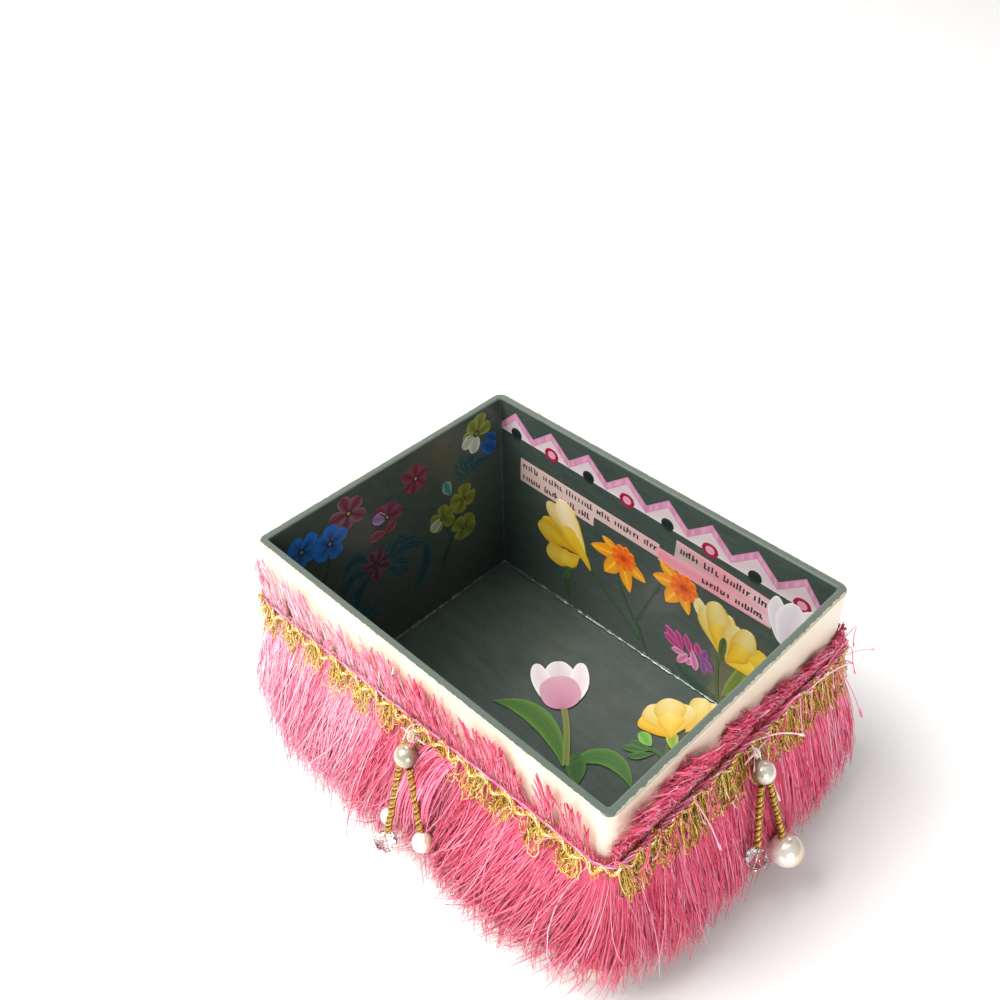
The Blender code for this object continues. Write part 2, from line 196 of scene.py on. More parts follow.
# Gold braid
GOLD_THREAD_RADIUS = 0.00018
GOLDS = ("#54430C", "#93761C", "#C9A036", "#EBC65C", "#F8E3A0")
BRAID_STANDOFF = 0.0022
BRAID_WAVES = 66
BRAID_DROP = 0.0008
BRAID_SWING = 0.0011
LOOP_START = 0.0012
LOOP_KINKS = (0.00045, 0.0005, 0.0003)
KINK_TURNS = (9, 24)
LOOP_LIFTS = (0.0005, 0.0021)
CURL_SIZES = (0.0005, 0.0012)
CURL_TURNS = (4.5, 9.0)
CURL_DRIFT = 0.0026
CURL_DROPS = (0.0004, 0.0048)
CURL_LIFTS = (0.0006, 0.0018)
BRAID_TWIST_RADIUS = 0.00029
BRAID_PLY_RADIUS = 0.00028
BRAID_PITCH = 0.0048
BRAID_TINTS = ("#E9C566", "#CDA044", "#F6E4B4")

# Seam cord
SEAM_CORD_STANDOFF = 0.0016
SEAM_CORD_SWELL = 0.0007
SEAM_CORD_RISE = 0.0002
SEAM_CORD_TWIST_RADIUS = 0.00017
SEAM_CORD_PLY_RADIUS = 0.00012
SEAM_CORD_PITCH = 0.0070
SEAM_CORD_TINTS = ("#E0709E", "#C4608F", "#F0B0CC")

# Cords of the drops
CORD_LEVELS = 9
ROPE_TWIST_RADIUS = 0.00058
ROPE_PLY_RADIUS = 0.00036
ROPE_PITCH = 0.0032
ROPE_TINTS = ("#B98A34", "#5E3F10", "#D8B658", "#7E5A1C", "#C79E44")

# Thread knots
KNOT_TURNS = 11
KNOT_THREAD_RADIUS = 0.00028
KNOT_TINTS = ("#DDD3C0", "#B7AC8C", "#E9E0CE", "#9A8E62")
KNOT_TAILS = 9
KNOT_TAIL_RADIUS = 0.00015
KNOT_TAIL_TINTS = ("#D8CDB8", "#F0D2DA", "#E8A8BC")

# Crystals, as shares of their radius out and up, and their pins, whose head
# has radii in metres at shares of half its height
CRYSTAL_CUT = ((0.22, -0.98), (0.62, -0.72), (1.0, -0.16), (1.0, 0.16), (0.62, 0.72), (0.22, 0.98))
CRYSTAL_FACETS = 8
PIN_FACETS = 16
PIN_RADIUS = 0.00022
PIN_TIP_RADIUS = 0.0001
PIN_HEAD = ((0.0006, -1.0), (0.0013, -0.4), (0.0013, 0.4), (0.0004, 1.0), (PIN_RADIUS, 1.1))

# The camera: azimuth, elevation and roll in degrees, and the lens in
# millimetres
CAMERA_ANGLES = (45.836, 40.8753, -1.6153)
CAMERA_SPOT = (0.13438, -0.14520, 0.26207)
FOCAL_LENGTH = 39.617
SENSOR_WIDTH = 36.0

# Allowances for rounding
TINY = 1e-12
SLACK = 1.001


def linear(code):
    """A hex colour as three linear values, by the sRGB curve."""
    values = []
    for start in (1, 3, 5):
        share = int(code[start : start + 2], 16) / 255
        values.append(share / 12.92 if share <= 0.04045 else ((share + 0.055) / 1.055) ** 2.4)
    return np.array(values)


def ramp_between(values, codes):
    """Colours read off an even ramp of hex codes, at values from 0 to 1."""
    stops = np.array([linear(code) for code in codes])
    places = np.linspace(0, 1, len(codes))
    clipped = np.clip(values, 0, 1)
    return np.stack([np.interp(clipped, places, stops[:, channel]) for channel in range(3)], axis=-1)


def place_at(laps):
    """Feet on the wall and the ways out of it, at shares of one lap.

    The lap starts at the left end of the front and passes the front, the
    right, the back and the left.
    """
    distance = np.mod(laps, 1.0) * LAP_LENGTH
    foot = np.zeros(distance.shape + (2,))
    out = np.zeros(distance.shape + (2,))
    start = 0.0
    for turn in range(4):
        heading = np.array([math.cos(turn * math.pi / 2), math.sin(turn * math.pi / 2)])
        facing = np.array([heading[1], -heading[0]])
        half_run = HALF_LONG_RUN if turn % 2 == 0 else HALF_SHORT_RUN
        across = (WIDTH if turn % 2 == 0 else LENGTH) / 2
        run = distance - start
        straight = (run >= 0) & (run <= 2 * half_run)
        foot[straight] = heading * (run[straight][:, None] - half_run) + facing * across
        out[straight] = facing
        bend = run - 2 * half_run
        corner = (bend > 0) & (bend <= CORNER_RUN * SLACK)
        angle = math.pi / 2 * bend[corner][:, None] / CORNER_RUN
        spoke = facing * np.cos(angle) + heading * np.sin(angle)
        out[corner] = spoke
        foot[corner] = heading * half_run + facing * (across - CORNER_RADIUS) + spoke * CORNER_RADIUS
        start += 2 * half_run + CORNER_RUN
    return foot, out


def seam_height(laps):
    """Height of the glue line, which sways on its way round."""
    return HEIGHT - SEAM_DROP - SEAM_SWAY * np.cos(2 * math.pi * SWAYS_PER_LAP * laps)


def hem_height(out):
    """Height of the fringe's hem on the side that faces out."""
    return HEM_LONG * out[..., 1] ** 2 + HEM_SHORT * out[..., 0] ** 2


def flare(foot, out):
    """How far the hem stands out, less round a corner and behind a drop."""
    side_flare = FLARE_LONG * out[..., 1] ** 2 + FLARE_SHORT * out[..., 0] ** 2
    share = 1.0
    for x_sign, y_sign, tuck in CORNER_TUCKS:
        to_corner = np.hypot(x_sign * LENGTH / 2 - foot[..., 0], y_sign * WIDTH / 2 - foot[..., 1])
        share = share * (1 - tuck * np.exp(-((to_corner / CORNER_REACH) ** 2)))
    for side_x, side_y, along, parting in PARTINGS:
        across = WIDTH if side_y else LENGTH
        drop_x = side_x * across / 2 - side_y * along
        drop_y = side_y * across / 2 + side_x * along
        to_drop = np.hypot(foot[..., 0] - drop_x, foot[..., 1] - drop_y)
        share = share * (1 - parting * np.exp(-((to_drop / PARTING_REACH) ** 2)))
    return side_flare * share


def skirt_offset(laps, foot, out, height):
    """Distance from the wall to the skirt's outer face at a height."""
    top = seam_height(laps)
    fall = np.clip((top - height) / (top - hem_height(out)), 0, 1)
    bend = (np.sin(FALL_ARC * fall) / math.sin(FALL_ARC)) ** FALL_LAG
    return HEADING_THICKNESS + flare(foot, out) * bend


def points_off(laps, offset, height):
    """Points in space, offset from the wall at shares of a lap and at heights."""
    foot, out = place_at(laps)
    flat = foot + out * offset[..., None]
    return np.concatenate([flat, height[..., None]], axis=-1)


def points_on_skirt(laps, height, lift):
    """Points that stand off the skirt's outer face by a lift."""
    foot, out = place_at(laps)
    return points_off(laps, skirt_offset(laps, foot, out, height) + lift, height)


def ways_along(laps):
    """Level ways along the wall at shares of a lap."""
    _, out = place_at(laps)
    return np.stack([-out[..., 1], out[..., 0], np.zeros(out.shape[:-1])], axis=-1)


def ways_out(laps, up=0.0):
    """Ways out of the wall at shares of a lap, with a rise."""
    _, out = place_at(laps)
    return np.stack([out[..., 0], out[..., 1], np.full(out.shape[:-1], up)], axis=-1)


def column(values):
    """One value for each strand, to be spread over its points."""
    return values[:, None]


def closed_grid_faces(places, across, inward=False):
    """Faces of a grid of points that closes on itself both ways."""
    index = np.arange(places * across).reshape(places, across)
    ahead, beside = np.roll(index, -1, axis=0), np.roll(index, -1, axis=1)
    corners = [index, ahead, np.roll(ahead, -1, axis=1), beside]
    if inward:
        corners[1], corners[3] = corners[3], corners[1]
    return np.stack(corners, axis=-1).reshape(-1, 4).tolist()


def tinted_mesh(name, vertices, faces, tints, smooth=True):
    """A mesh object with a colour at each vertex."""
    mesh = bpy.data.meshes.new(name)
    mesh.from_pydata(vertices, [], faces)
    mesh.update()
    layer = mesh.color_attributes.new("tint", "FLOAT_COLOR", "POINT")
    values = np.ones((len(vertices), 4), np.float32)
    values[:, :3] = tints
    layer.data.foreach_set("color", values.ravel())
    if smooth:
        mesh.shade_smooth()
    return add_to_scene(name, mesh)


def tube_parts(paths, radii, tints, guides, sides):
    """Vertices, faces and colours of round strands.

    paths is strands by points by 3, radii strands by points, and a guide is a
    direction that the strand never runs along.
    """
    strands, points = paths.shape[:2]
    along = np.gradient(paths, axis=1)
    along /= np.maximum(np.linalg.norm(along, axis=2, keepdims=True), TINY)
    first = np.cross(along, np.broadcast_to(guides, along.shape))
    first /= np.maximum(np.linalg.norm(first, axis=2, keepdims=True), TINY)
    second = np.cross(along, first)
    angles = np.arange(sides) * 2 * math.pi / sides
    spokes = (
        first[:, :, None, :] * np.cos(angles)[None, None, :, None]
        + second[:, :, None, :] * np.sin(angles)[None, None, :, None]
    )
    rings = paths[:, :, None, :] + spokes * radii[:, :, None, None]
    colours = np.broadcast_to(tints[:, :, None, :], rings.shape)
    index = np.arange(strands * points * sides).reshape(strands, points, sides)
    following = np.roll(index, -1, axis=2)
    quads = np.stack([index[:, :-1], following[:, :-1], following[:, 1:], index[:, 1:]], axis=-1)
    faces = quads.reshape(-1, 4).tolist()
    faces += index[:, 0, ::-1].tolist()
    faces += index[:, -1, :].tolist()
    return rings.reshape(-1, 3), faces, colours.reshape(-1, 3)


def joined(parts):
    """One set of vertices, faces and colours from several."""
    vertices, faces, tints = [], [], []
    count = 0
    for part_vertices, part_faces, part_tints in parts:
        vertices.append(part_vertices)
        tints.append(part_tints)
        faces += [[corner + count for corner in face] for face in part_faces]
        count += len(part_vertices)
    return np.concatenate(vertices), faces, np.concatenate(tints)


def strand_object(name, parts, surface, stands_for=()):
    """A piece made of strands, riding on the box."""
    made = tinted_mesh(name, *joined(parts))
    return finish_piece(made, surface, stands_for)


def finish_piece(made, surface, stands_for=()):
    """Give a piece its material and the nodes that it stands for."""
    made.data.materials.clear()
    made.data.materials.append(surface)
    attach(made, "root")
    if stands_for:
        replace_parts(made, *stands_for)
    return made


class Surface:
    """A procedural material built up node by node.

    COLOURS are the sockets for the two colours of a mix, and MIXED its result.
    """

    COLOURS = (6, 7)
    MIXED = 2

    def __init__(self, name, **plain):
        self.material = bpy.data.materials.new(name)
        self.material.use_nodes = True
        self.tree = self.material.node_tree
        self.shader = self.tree.nodes["Principled BSDF"]
        for socket, value in plain.items():
            self.shader.inputs[socket.replace("_", " ")].default_value = value

    def add(self, kind, settings=None, **inputs):
        """A node with its settings and its inputs, each a value or a socket."""
        made = self.tree.nodes.new(kind)
        for key, value in (settings or {}).items():
            setattr(made, key, value)
        for key, value in inputs.items():
            self.feed(made.inputs[key.replace("_", " ")], value)
        return made

    def feed(self, socket, value):
        """Link a socket to another, or set its value."""
        if isinstance(value, bpy.types.NodeSocket):
            self.tree.links.new(value, socket)
        else:
            socket.default_value = value

    def place(self):
        """The point on the object, in metres."""
        return self.add("ShaderNodeTexCoord").outputs["Object"]

    def stretched(self, x, y, z):
        """The point on the object with each axis scaled."""
        return self.add("ShaderNodeMapping", Vector=self.place(), Scale=(x, y, z)).outputs["Vector"]

    def noise(self, scale, detail=3.0, roughness=0.55, vector=None):
        """Noise from 0 to 1."""
        made = self.add("ShaderNodeTexNoise", Scale=scale, Detail=detail, Roughness=roughness)
        self.feed(made.inputs["Vector"], vector or self.place())
        return made.outputs["Fac"]

    def spread(self, value, low, high, to_low=0.0, to_high=1.0):
        """A value mapped from one range to another, and clamped."""
        made = self.add("ShaderNodeMapRange")
        for name, number in (("From Min", low), ("From Max", high), ("To Min", to_low), ("To Max", to_high)):
            made.inputs[name].default_value = number
        self.feed(made.inputs["Value"], value)
        return made.outputs["Result"]

    def reckon(self, operation, first, second):
        """One sum of two values."""
        made = self.add("ShaderNodeMath", {"operation": operation})
        self.feed(made.inputs[0], first)
        self.feed(made.inputs[1], second)
        return made.outputs["Value"]

    def mixed(self, share, first, second, blend="MIX"):
        """Two colours mixed, each a socket, a hex code or three linear values."""
        made = self.add("ShaderNodeMix", {"data_type": "RGBA", "blend_type": blend})
        self.feed(made.inputs[0], share)
        for place, colour in zip(self.COLOURS, (first, second)):
            if isinstance(colour, str):
                colour = linear(colour)
            if not isinstance(colour, bpy.types.NodeSocket):
                colour = (*colour, 1.0)
            self.feed(made.inputs[place], colour)
        return made.outputs[self.MIXED]

    def tint(self):
        """The colour at the mesh's vertices."""
        return self.add("ShaderNodeAttribute", {"attribute_name": "tint"}).outputs["Color"]

    def bump(self, height, distance, strength=1.0):
        """Relief on the surface, with its depth in metres."""
        made = self.add("ShaderNodeBump", Height=height, Distance=distance, Strength=strength)
        self.feed(self.shader.inputs["Normal"], made.outputs["Normal"])

    def base(self, value):
        """The surface's colour."""
        self.feed(self.shader.inputs["Base Color"], value)

    def rough(self, value):
        """The surface's roughness."""
        self.feed(self.shader.inputs["Roughness"], value)


def silk_surface(name):
    """Dyed silk thread, whose colour varies from thread to thread."""
    silk = Surface(name, Sheen_Weight=0.25, Sheen_Roughness=0.4, Specular_IOR_Level=0.45)
    fleck = silk.noise(900.0, vector=silk.stretched(1.0, 1.0, 0.25))
    # Pale streaks along the threads mixed into the dye: painted sheen
    shine = silk.spread(fleck, 0.3, 0.75, 0.0, 0.5)
    silk.base(silk.mixed(shine, silk.tint(), "#FFE6EC", "SOFT_LIGHT"))
    silk.rough(silk.spread(fleck, 0.3, 0.7, 0.38, 0.6))
    return silk.material


def gold_surface(name, sparkle=0.7):
    """Metallic thread, with the wrap of its foil as fine relief."""
    gold = Surface(name, Metallic=0.8, Specular_IOR_Level=0.7)
    fleck = gold.noise(3200.0, detail=2.0)
    wrap = gold.add("ShaderNodeTexWave", Scale=1400.0, Distortion=4.0, Vector=gold.place()).outputs["Fac"]
    # Fine pale flecks mixed into the colour, up to the share sparkle: painted glints
    gold.base(gold.mixed(gold.spread(fleck, 0.5, 0.72, 0.0, sparkle), gold.tint(), "#FFE9A6"))
    gold.rough(gold.spread(fleck, 0.35, 0.65, 0.16, 0.42))
    gold.bump(wrap, 0.00006, 0.8)
    return gold.material


def pearl_surface():
    """Nacre: a soft body colour under a clear gloss."""
    nacre = Surface(
        "nacre",
        Roughness=0.24,
        Metallic=0.25,
        Coat_Weight=1.0,
        Coat_Roughness=0.05,
        Coat_IOR=1.7,
        Subsurface_Weight=0.1,
        Subsurface_Radius=(0.002, 0.0015, 0.001),
        Subsurface_Scale=1.0,
    )
    cloud = nacre.noise(420.0, detail=2.0)
    nacre.base(nacre.mixed(nacre.spread(cloud, 0.3, 0.7, 0.0, 0.12), nacre.tint(), "#F7EFE0"))
    return nacre.material


def paint_surface():
    """The box's paint: cream outside, grey-green inside and over the rim."""
    paint = Surface("painted_board", Coat_Weight=0.35, Coat_Roughness=0.12)
    split = paint.add("ShaderNodeSeparateXYZ", Vector=paint.place())
    across_x = paint.reckon("ABSOLUTE", split.outputs["X"], 0.0)
    across_y = paint.reckon("ABSOLUTE", split.outputs["Y"], 0.0)
    within_x = paint.reckon("LESS_THAN", across_x, LENGTH / 2 - WALL * 0.5)
    within_y = paint.reckon("LESS_THAN", across_y, WIDTH / 2 - WALL * 0.5)
    above_base = paint.reckon("GREATER_THAN", split.outputs["Z"], WALL * 0.5)
    inside = paint.reckon("MULTIPLY", paint.reckon("MULTIPLY", within_x, within_y), above_base)
    wander = paint.spread(paint.noise(700.0, detail=4.0), 0.25, 0.75, -PAINT_WANDER, PAINT_WANDER)
    edge_x = paint.reckon("ADD", across_x, wander)
    edge_y = paint.reckon("ADD", across_y, wander)
    off_edge_x = paint.reckon("LESS_THAN", edge_x, LENGTH / 2 - PAINT_MARGIN)
    off_edge_y = paint.reckon("LESS_THAN", edge_y, WIDTH / 2 - PAINT_MARGIN)
    on_rim = paint.reckon("GREATER_THAN", split.outputs["Z"], HEIGHT - PAINT_LAP)
    over = paint.reckon("MULTIPLY", paint.reckon("MULTIPLY", off_edge_x, off_edge_y), on_rim)
    grey_share = paint.reckon("MAXIMUM", inside, over)
    brush = paint.noise(260.0, detail=6.0, roughness=0.6, vector=paint.stretched(0.35, 1.0, 3.0))
    grain = paint.noise(1700.0, detail=3.0)
    grey = paint.mixed(paint.spread(brush, 0.3, 0.7), "#34413B", "#434F49")
    grey = paint.mixed(paint.spread(grain, 0.56, 0.8, 0.0, 0.2), grey, "#7B847B")
    grey = paint.mixed(paint.reckon("MULTIPLY", over, 0.75), grey, "#5F695F")
    cream = paint.mixed(paint.spread(brush, 0.3, 0.7), "#E6DAC0", "#EFE5CF")
    # The cream on the rim is greyed: partly a worn grey border, partly painted shade that keeps the rim's
    # lit top from glaring
    worn_and_shaded = paint.mixed(paint.reckon("MULTIPLY", on_rim, 0.85), cream, "#A29D8C")
    paint.base(paint.mixed(grey_share, worn_and_shaded, grey))
    paint.rough(paint.spread(brush, 0.3, 0.7, 0.34, 0.42))
    paint.bump(paint.mixed(0.85, brush, grain), 0.00012, 0.6)
    return paint.material


def paper_surface(name):
    """Printed paper under varnish, coloured at its vertices."""
    paper = Surface(name, Coat_Weight=0.3, Coat_Roughness=0.12)
    grain = paper.noise(1400.0, detail=3.0)
    shade = paper.spread(grain, 0.3, 0.7, 0.0, 0.35)
    paper.base(paper.mixed(shade, paper.tint(), (0.5, 0.5, 0.5), "OVERLAY"))
    paper.rough(paper.spread(grain, 0.3, 0.7, 0.35, 0.5))
    paper.bump(grain, 0.00003, 0.4)
    return paper.material


def lock_draw(draw, laps, count, spread):
    """One random value for each lock, given to all the places in it."""
    values = draw.normal(0, spread, count)
    return values[np.floor(np.mod(laps, 1.0) * count).astype(int) % count]


def round_lap(laps, places, values):
    """A value read off a line of values at shares of a lap."""
    return np.interp(np.mod(laps, 1.0), places, values)


def lean_at(laps):
    """How far threads run along the wall for each metre that they hang."""
    places = [0.0, 0.5 * FRONT_END, 0.75 * FRONT_END, FRONT_END, RIGHT_START, RIGHT_END, 0.75, 1.0]
    return round_lap(laps, places, [-0.06, -0.24, -0.34, -0.26, -0.02, 0.03, 0.0, -0.06])


def paleness_at(laps):
    """How pale the threads are at a share of a lap, from 0 to 1: partly their dye, partly painted light,
    palest at the brightly lit left end of the front.
    """
    places = [0.0, 0.35 * FRONT_END, 0.52 * FRONT_END, FRONT_END, RIGHT_START, RIGHT_END, 0.85, 1.0]
    return round_lap(laps, places, [0.82, 0.74, 0.48, 0.40, 0.36, 0.46, 0.62, 0.82])


def looseness_at(laps):
    """How far threads stray from straight: most at the left end of the front."""
    places = [0.0, FRONT_END, RIGHT_START, RIGHT_END, 0.75, 1.0]
    return round_lap(laps, places, [1.9, 1.4, 1.0, 1.0, 1.2, 1.9])


def fringe_strands(seed, count, depths, reaches, steps, radius):
    """Hanging threads between two depths of the skirt, and of some lengths."""
    draw = np.random.default_rng(seed)
    laps = draw.random(count)
    centres = (np.floor(laps * CLUMPS) + 0.5) / CLUMPS
    gather = draw.uniform(*GATHER, count)
    depth = draw.uniform(*depths, count)
    reach = draw.uniform(*reaches, count) + lock_draw(draw, laps, CLUMPS, CLUMP_REACH)
    share = np.linspace(0, 1, steps)[None, :] * column(reach)
    within = np.minimum(share, 1.0)
    _, out = place_at(laps)
    top = seam_height(laps) - draw.uniform(*THREAD_STARTS, count)
    hang = top - hem_height(out) + lock_draw(draw, laps, LOCKS, HEM_UNEVEN * 0.5)
    height = column(top) - column(hang) * share

    loose = looseness_at(laps)
    lean = lean_at(laps) + lock_draw(draw, laps, CLUMPS, CLUMP_LEAN)
    lean += loose * draw.normal(0, LEAN_STRAY, count)
    bow = column(loose * draw.normal(0, BOW, count)) * np.sin(math.pi * within)
    waves = column(draw.uniform(0, 2 * math.pi, count)) + share * column(draw.uniform(*WAVE_TURNS, count))
    wave = column(loose**2 * draw.uniform(*WAVE_SIZES, count)) * np.sin(waves) * share
    tip = np.maximum(share - FLICK_START, 0) / (1 - FLICK_START)
    flick = column(loose * draw.normal(0, FLICK, count)) * tip**2
    along = column(lean * hang) * share**1.2 + bow + wave + flick
    spot = column(laps) + column((centres - laps) * gather) * share**2 + along / LAP_LENGTH

    foot, ways = place_at(spot)
    offset = skirt_offset(spot, foot, ways, height)
    splay = loose * draw.normal(*SPLAY, count) + lock_draw(draw, laps, CLUMPS, CLUMP_SPLAY)
    offset = offset - column(depth) * FRINGE_BULK * within + column(splay) * share**1.5
    paths = points_off(spot, np.maximum(offset, LEAST_STANDOFF), np.maximum(height, LEAST_STANDOFF))
    radii = np.full(paths.shape[:2], radius) * column(draw.uniform(*THREAD_SIZES, count))
    radii[:, -1] *= 0.5

    tone = paleness_at(laps) + draw.normal(0, TONE_STRAY, count)
    tone += lock_draw(draw, laps, CLUMPS, CLUMP_TONE) + SHADE_AT_DEPTH * depth
    tone += SHEEN_LIFT * (draw.random(count) < SHEEN_THREADS)
    near_top = 1 - np.minimum(share * 3, 1)
    tones = column(tone) + TONE_AT_HEM * (share > HEM_START) + TONE_AT_TOP * near_top
    return tube_parts(paths, radii, ramp_between(tones, DYES), ways_along(laps)[:, None, :], sides=3)


def make_fringe():
    """The silk fringe in three depths, over a dark core."""
    outer = fringe_strands(1, 5100, (0.0, 0.25), (0.62, 1.07), 7, THREAD_RADIUS)
    middle = fringe_strands(2, 4500, (0.2, 0.7), (0.85, 1.10), 7, THREAD_RADIUS * 1.1)
    inner = fringe_strands(3, 3200, (0.65, 1.0), (0.80, 1.02), 6, THREAD_RADIUS * 1.2)
    strand_object("fringe_outer", [outer], silk_surface("silk_outer"), ("fringe",))
    strand_object("fringe_middle", [middle], silk_surface("silk_middle"))
    strand_object("fringe_inner", [inner, swept_strands()], silk_surface("silk_inner"))
    make_fringe_core()


def swept_strands():
    """Threads of the front that sweep left over the side pearl's cord."""
    draw = np.random.default_rng(5)
    count, steps = 70, 12
    starts, runs, drops = (0.003, 0.013), (0.0020, 0.0075), (0.012, 0.027)
    start_below_seam, lift, swell = 0.004, 0.0012, 0.0034
    knot, _ = middle_of("front_knot")
    laps = (HALF_LONG_RUN + knot.x + draw.uniform(*starts, count)) / LAP_LENGTH
    share = np.linspace(0, 1, steps)[None, :]
    run = column(draw.uniform(*runs, count))
    drop = column(draw.uniform(*drops, count))
    spot = column(laps) - run * np.sin(share * math.pi / 2) / LAP_LENGTH
    height = column(seam_height(laps)) - start_below_seam - drop * share**1.25
    paths = points_on_skirt(spot, height, lift + swell * np.sin(math.pi * share * 0.75))
    radii = np.full(paths.shape[:2], THREAD_RADIUS)
    radii[:, -1] *= 0.6
    tone = 0.50 + draw.normal(0, 0.16, count)
    tints = ramp_between(np.broadcast_to(column(tone), paths.shape[:2]), DYES)
    return tube_parts(paths, radii, tints, ways_along(laps)[:, None, :], sides=4)


def make_fringe_core():
    """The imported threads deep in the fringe, as one folded ring."""
    laps = np.arange(CORE_PLACES) / CORE_PLACES
    foot, out = place_at(laps)
    top = seam_height(laps)
    hang = (top - hem_height(out)) * CORE_HANG
    rows = []
    for share, inward in CORE_OUTLINE:
        height = top - CORE_TOP - hang * share
        offset = skirt_offset(laps, foot, out, height) - inward * FRINGE_BULK
        ripple = CORE_RIPPLE * np.sin(laps * 2 * math.pi * CORE_RIPPLES) * share
        rows.append(points_off(laps, np.maximum(offset + ripple, LEAST_CORE_STANDOFF), height))
    rings = np.stack(rows, axis=1)
    vertices = rings.reshape(-1, 3)
    tints = np.broadcast_to(linear("#D8466C"), vertices.shape)
    made = tinted_mesh("fringe_core", vertices, closed_grid_faces(*rings.shape[:2]), tints)
    finish_piece(made, silk_surface("silk_core"))


def upright_strands(seed, count, ends, bunches, rises, outwards, stalk, dipped, paler, lean, curl):
    """Dipped threads in bunches that stand up above the seam.

    ends are the first and last share of a lap. rises and outwards are the
    least and the most, in metres and as a share of the rise. stalk is the
    radius, dipped the share of threads with a thick tip, paler what is added
    to the paleness, and lean and curl are shares of the rise.
    """
    draw = np.random.default_rng(seed)
    steps = len(TUFT_SWELL)
    bunch = draw.integers(0, bunches, count)
    middles = draw.uniform(*ends, bunches)
    tall, tilt, stand_out = draw.random(bunches), draw.normal(0, BUNCH_TILT, bunches), draw.random(bunches)
    spread = draw.normal(0, 1, count)
    laps = middles[bunch] + spread * BUNCH_WIDTH / LAP_LENGTH
    low, high = rises
    rise = low + (high - low) * np.clip(tall[bunch] ** 1.3 + draw.normal(0, TUFT_UNEVEN, count), 0, 1)
    rise = np.minimum(rise * rise_at(laps), HEIGHT - TUFT_MARGIN - seam_height(laps))
    share = np.linspace(0, 1, steps)[None, :]
    tip_lean = lean + tilt[bunch] + BUNCH_SPLAY * spread + draw.normal(0, TUFT_STRAY, count)
    outward = np.interp(stand_out[bunch] + draw.normal(0, 0.15, count), [0, 1], outwards)
    bend = column(draw.normal(0, curl, count)) * share**2
    kink = curl * np.sin(share * TUFT_KINKS + column(draw.uniform(0, 6, count))) * share * 0.4

    height = column(seam_height(laps)) - TUFT_ROOT + column(rise) * share * (1 - np.abs(bend) * 0.3)
    along = column(rise) * (column(tip_lean) * share + bend + kink)
    stand = TUFT_STAND + TUFT_DEPTH * column(draw.random(count)) + column(rise * outward) * share**1.2
    stand = np.maximum(stand + column(rise) * kink * 0.6, TUFT_CLEARANCE)
    paths = points_off(column(laps) + along / LAP_LENGTH, stand, height)
    club = draw.uniform(*CLUB_SIZES, count) * (draw.random(count) < dipped)
    radii = stalk * column(draw.uniform(0.8, 1.25, count)) * (1 + column(club) * np.array(TUFT_SWELL))
    radii[:, -1] *= 0.7

    tone = paleness_at(laps) + draw.normal(0, 0.12 + 0.16 * curl, count) + paler
    dip = (SOFT_DIP + CLUB_DIP * (club > 0)) * (1.3 - paleness_at(laps))
    tones = column(tone) + 0.10 * (1 - share) - column(dip) * share**3
    return tube_parts(paths, radii, ramp_between(tones, DYES), ways_along(laps)[:, None, :], sides=3)


def rise_at(laps):
    """How tall the tufts stand: low at the near corner, sinking along the right."""
    middle = (FRONT_END + RIGHT_START) / 2
    right_third = RIGHT_START + (RIGHT_END - RIGHT_START) / 3
    sinking = np.interp(laps, [RIGHT_START, right_third, RIGHT_END, 0.56], [1.1, 1.1, 0.5, 1.0])
    return sinking * (1 - CORNER_DIP * np.exp(-(((laps - middle) * LAP_LENGTH / CORNER_DIP_REACH) ** 2)))


def make_tufts():
    """The upright threads: fuzz along the seam, and strokes over the walls.

    Each kind is the values that upright_strands asks for, in its order.
    """
    whole, front = (0.0, 1.0), (-0.01, FRONT_END)
    right, rest = (RIGHT_START - 0.01, RIGHT_END + 0.015), (RIGHT_END + 0.015, 0.985)
    parts = []
    for kind in (
        (7, 1350, whole, 420, (0.0012, 0.0052), (0.03, 0.20), 0.00011, 0.1, -0.04, -0.08, 0.1),
        (8, 720, front, 88, (0.0040, 0.0155), (0.02, 0.10), 0.00009, 0.5, 0.06, -0.08, 0.1),
        (9, 1900, right, 84, (0.0028, 0.0135), (0.0, 0.20), 0.00009, 0.3, 0.10, -0.22, 0.38),
        (10, 700, rest, 120, (0.0030, 0.0120), (0.04, 0.28), 0.00011, 0.35, -0.02, -0.05, 0.2),
    ):
        parts.append(upright_strands(*kind))
    parts += [stray_strands(), long_strays()]
    strand_object("tufts", parts, silk_surface("silk_tufts"), ("tuft_trim",))


def stray_strands():
    """Loose threads with knobbed ends that bend out over the trim."""
    draw = np.random.default_rng(19)
    count, steps = 80, 12
    on_right, most_rise, most_sink, run_stray = 0.6, 0.0060, 0.0070, 0.0050
    lift, swell, curl_size = 0.0012, 0.0040, 0.0006
    right_laps = draw.random(count) < on_right
    laps = np.where(right_laps, draw.uniform(RIGHT_START, RIGHT_END, count), draw.random(count))
    share = np.linspace(0, 1, steps)[None, :]
    rise = column(draw.uniform(0.0010, most_rise, count))
    sink = column(draw.uniform(0.0, most_sink, count))
    run = column(draw.normal(0, run_stray, count))
    arch = np.sin(math.pi * np.minimum(share * 1.15, 1.0))
    height = column(seam_height(laps)) + rise * arch - sink * share**2
    curl = curl_size * np.sin(share * column(draw.uniform(3, 8, count)) + column(draw.uniform(0, 6, count)))
    spot = column(laps) + (run * share + curl * share) / LAP_LENGTH
    paths = points_on_skirt(spot, height, lift + swell * np.sin(math.pi * share * 0.6))
    radii = np.full(paths.shape[:2], STRAY_RADIUS) * column(draw.uniform(0.8, 1.3, count))
    radii[:, -2:] = KNOB_RADIUS
    radii[:, -1] = KNOB_RADIUS_AT_END
    tone = paleness_at(laps) + draw.normal(0.06, 0.20, count)
    tints = ramp_between(np.broadcast_to(column(tone), paths.shape[:2]), DYES)
    return tube_parts(paths, radii, tints, ways_out(laps, GUIDE_RISE)[:, None, :], sides=4)


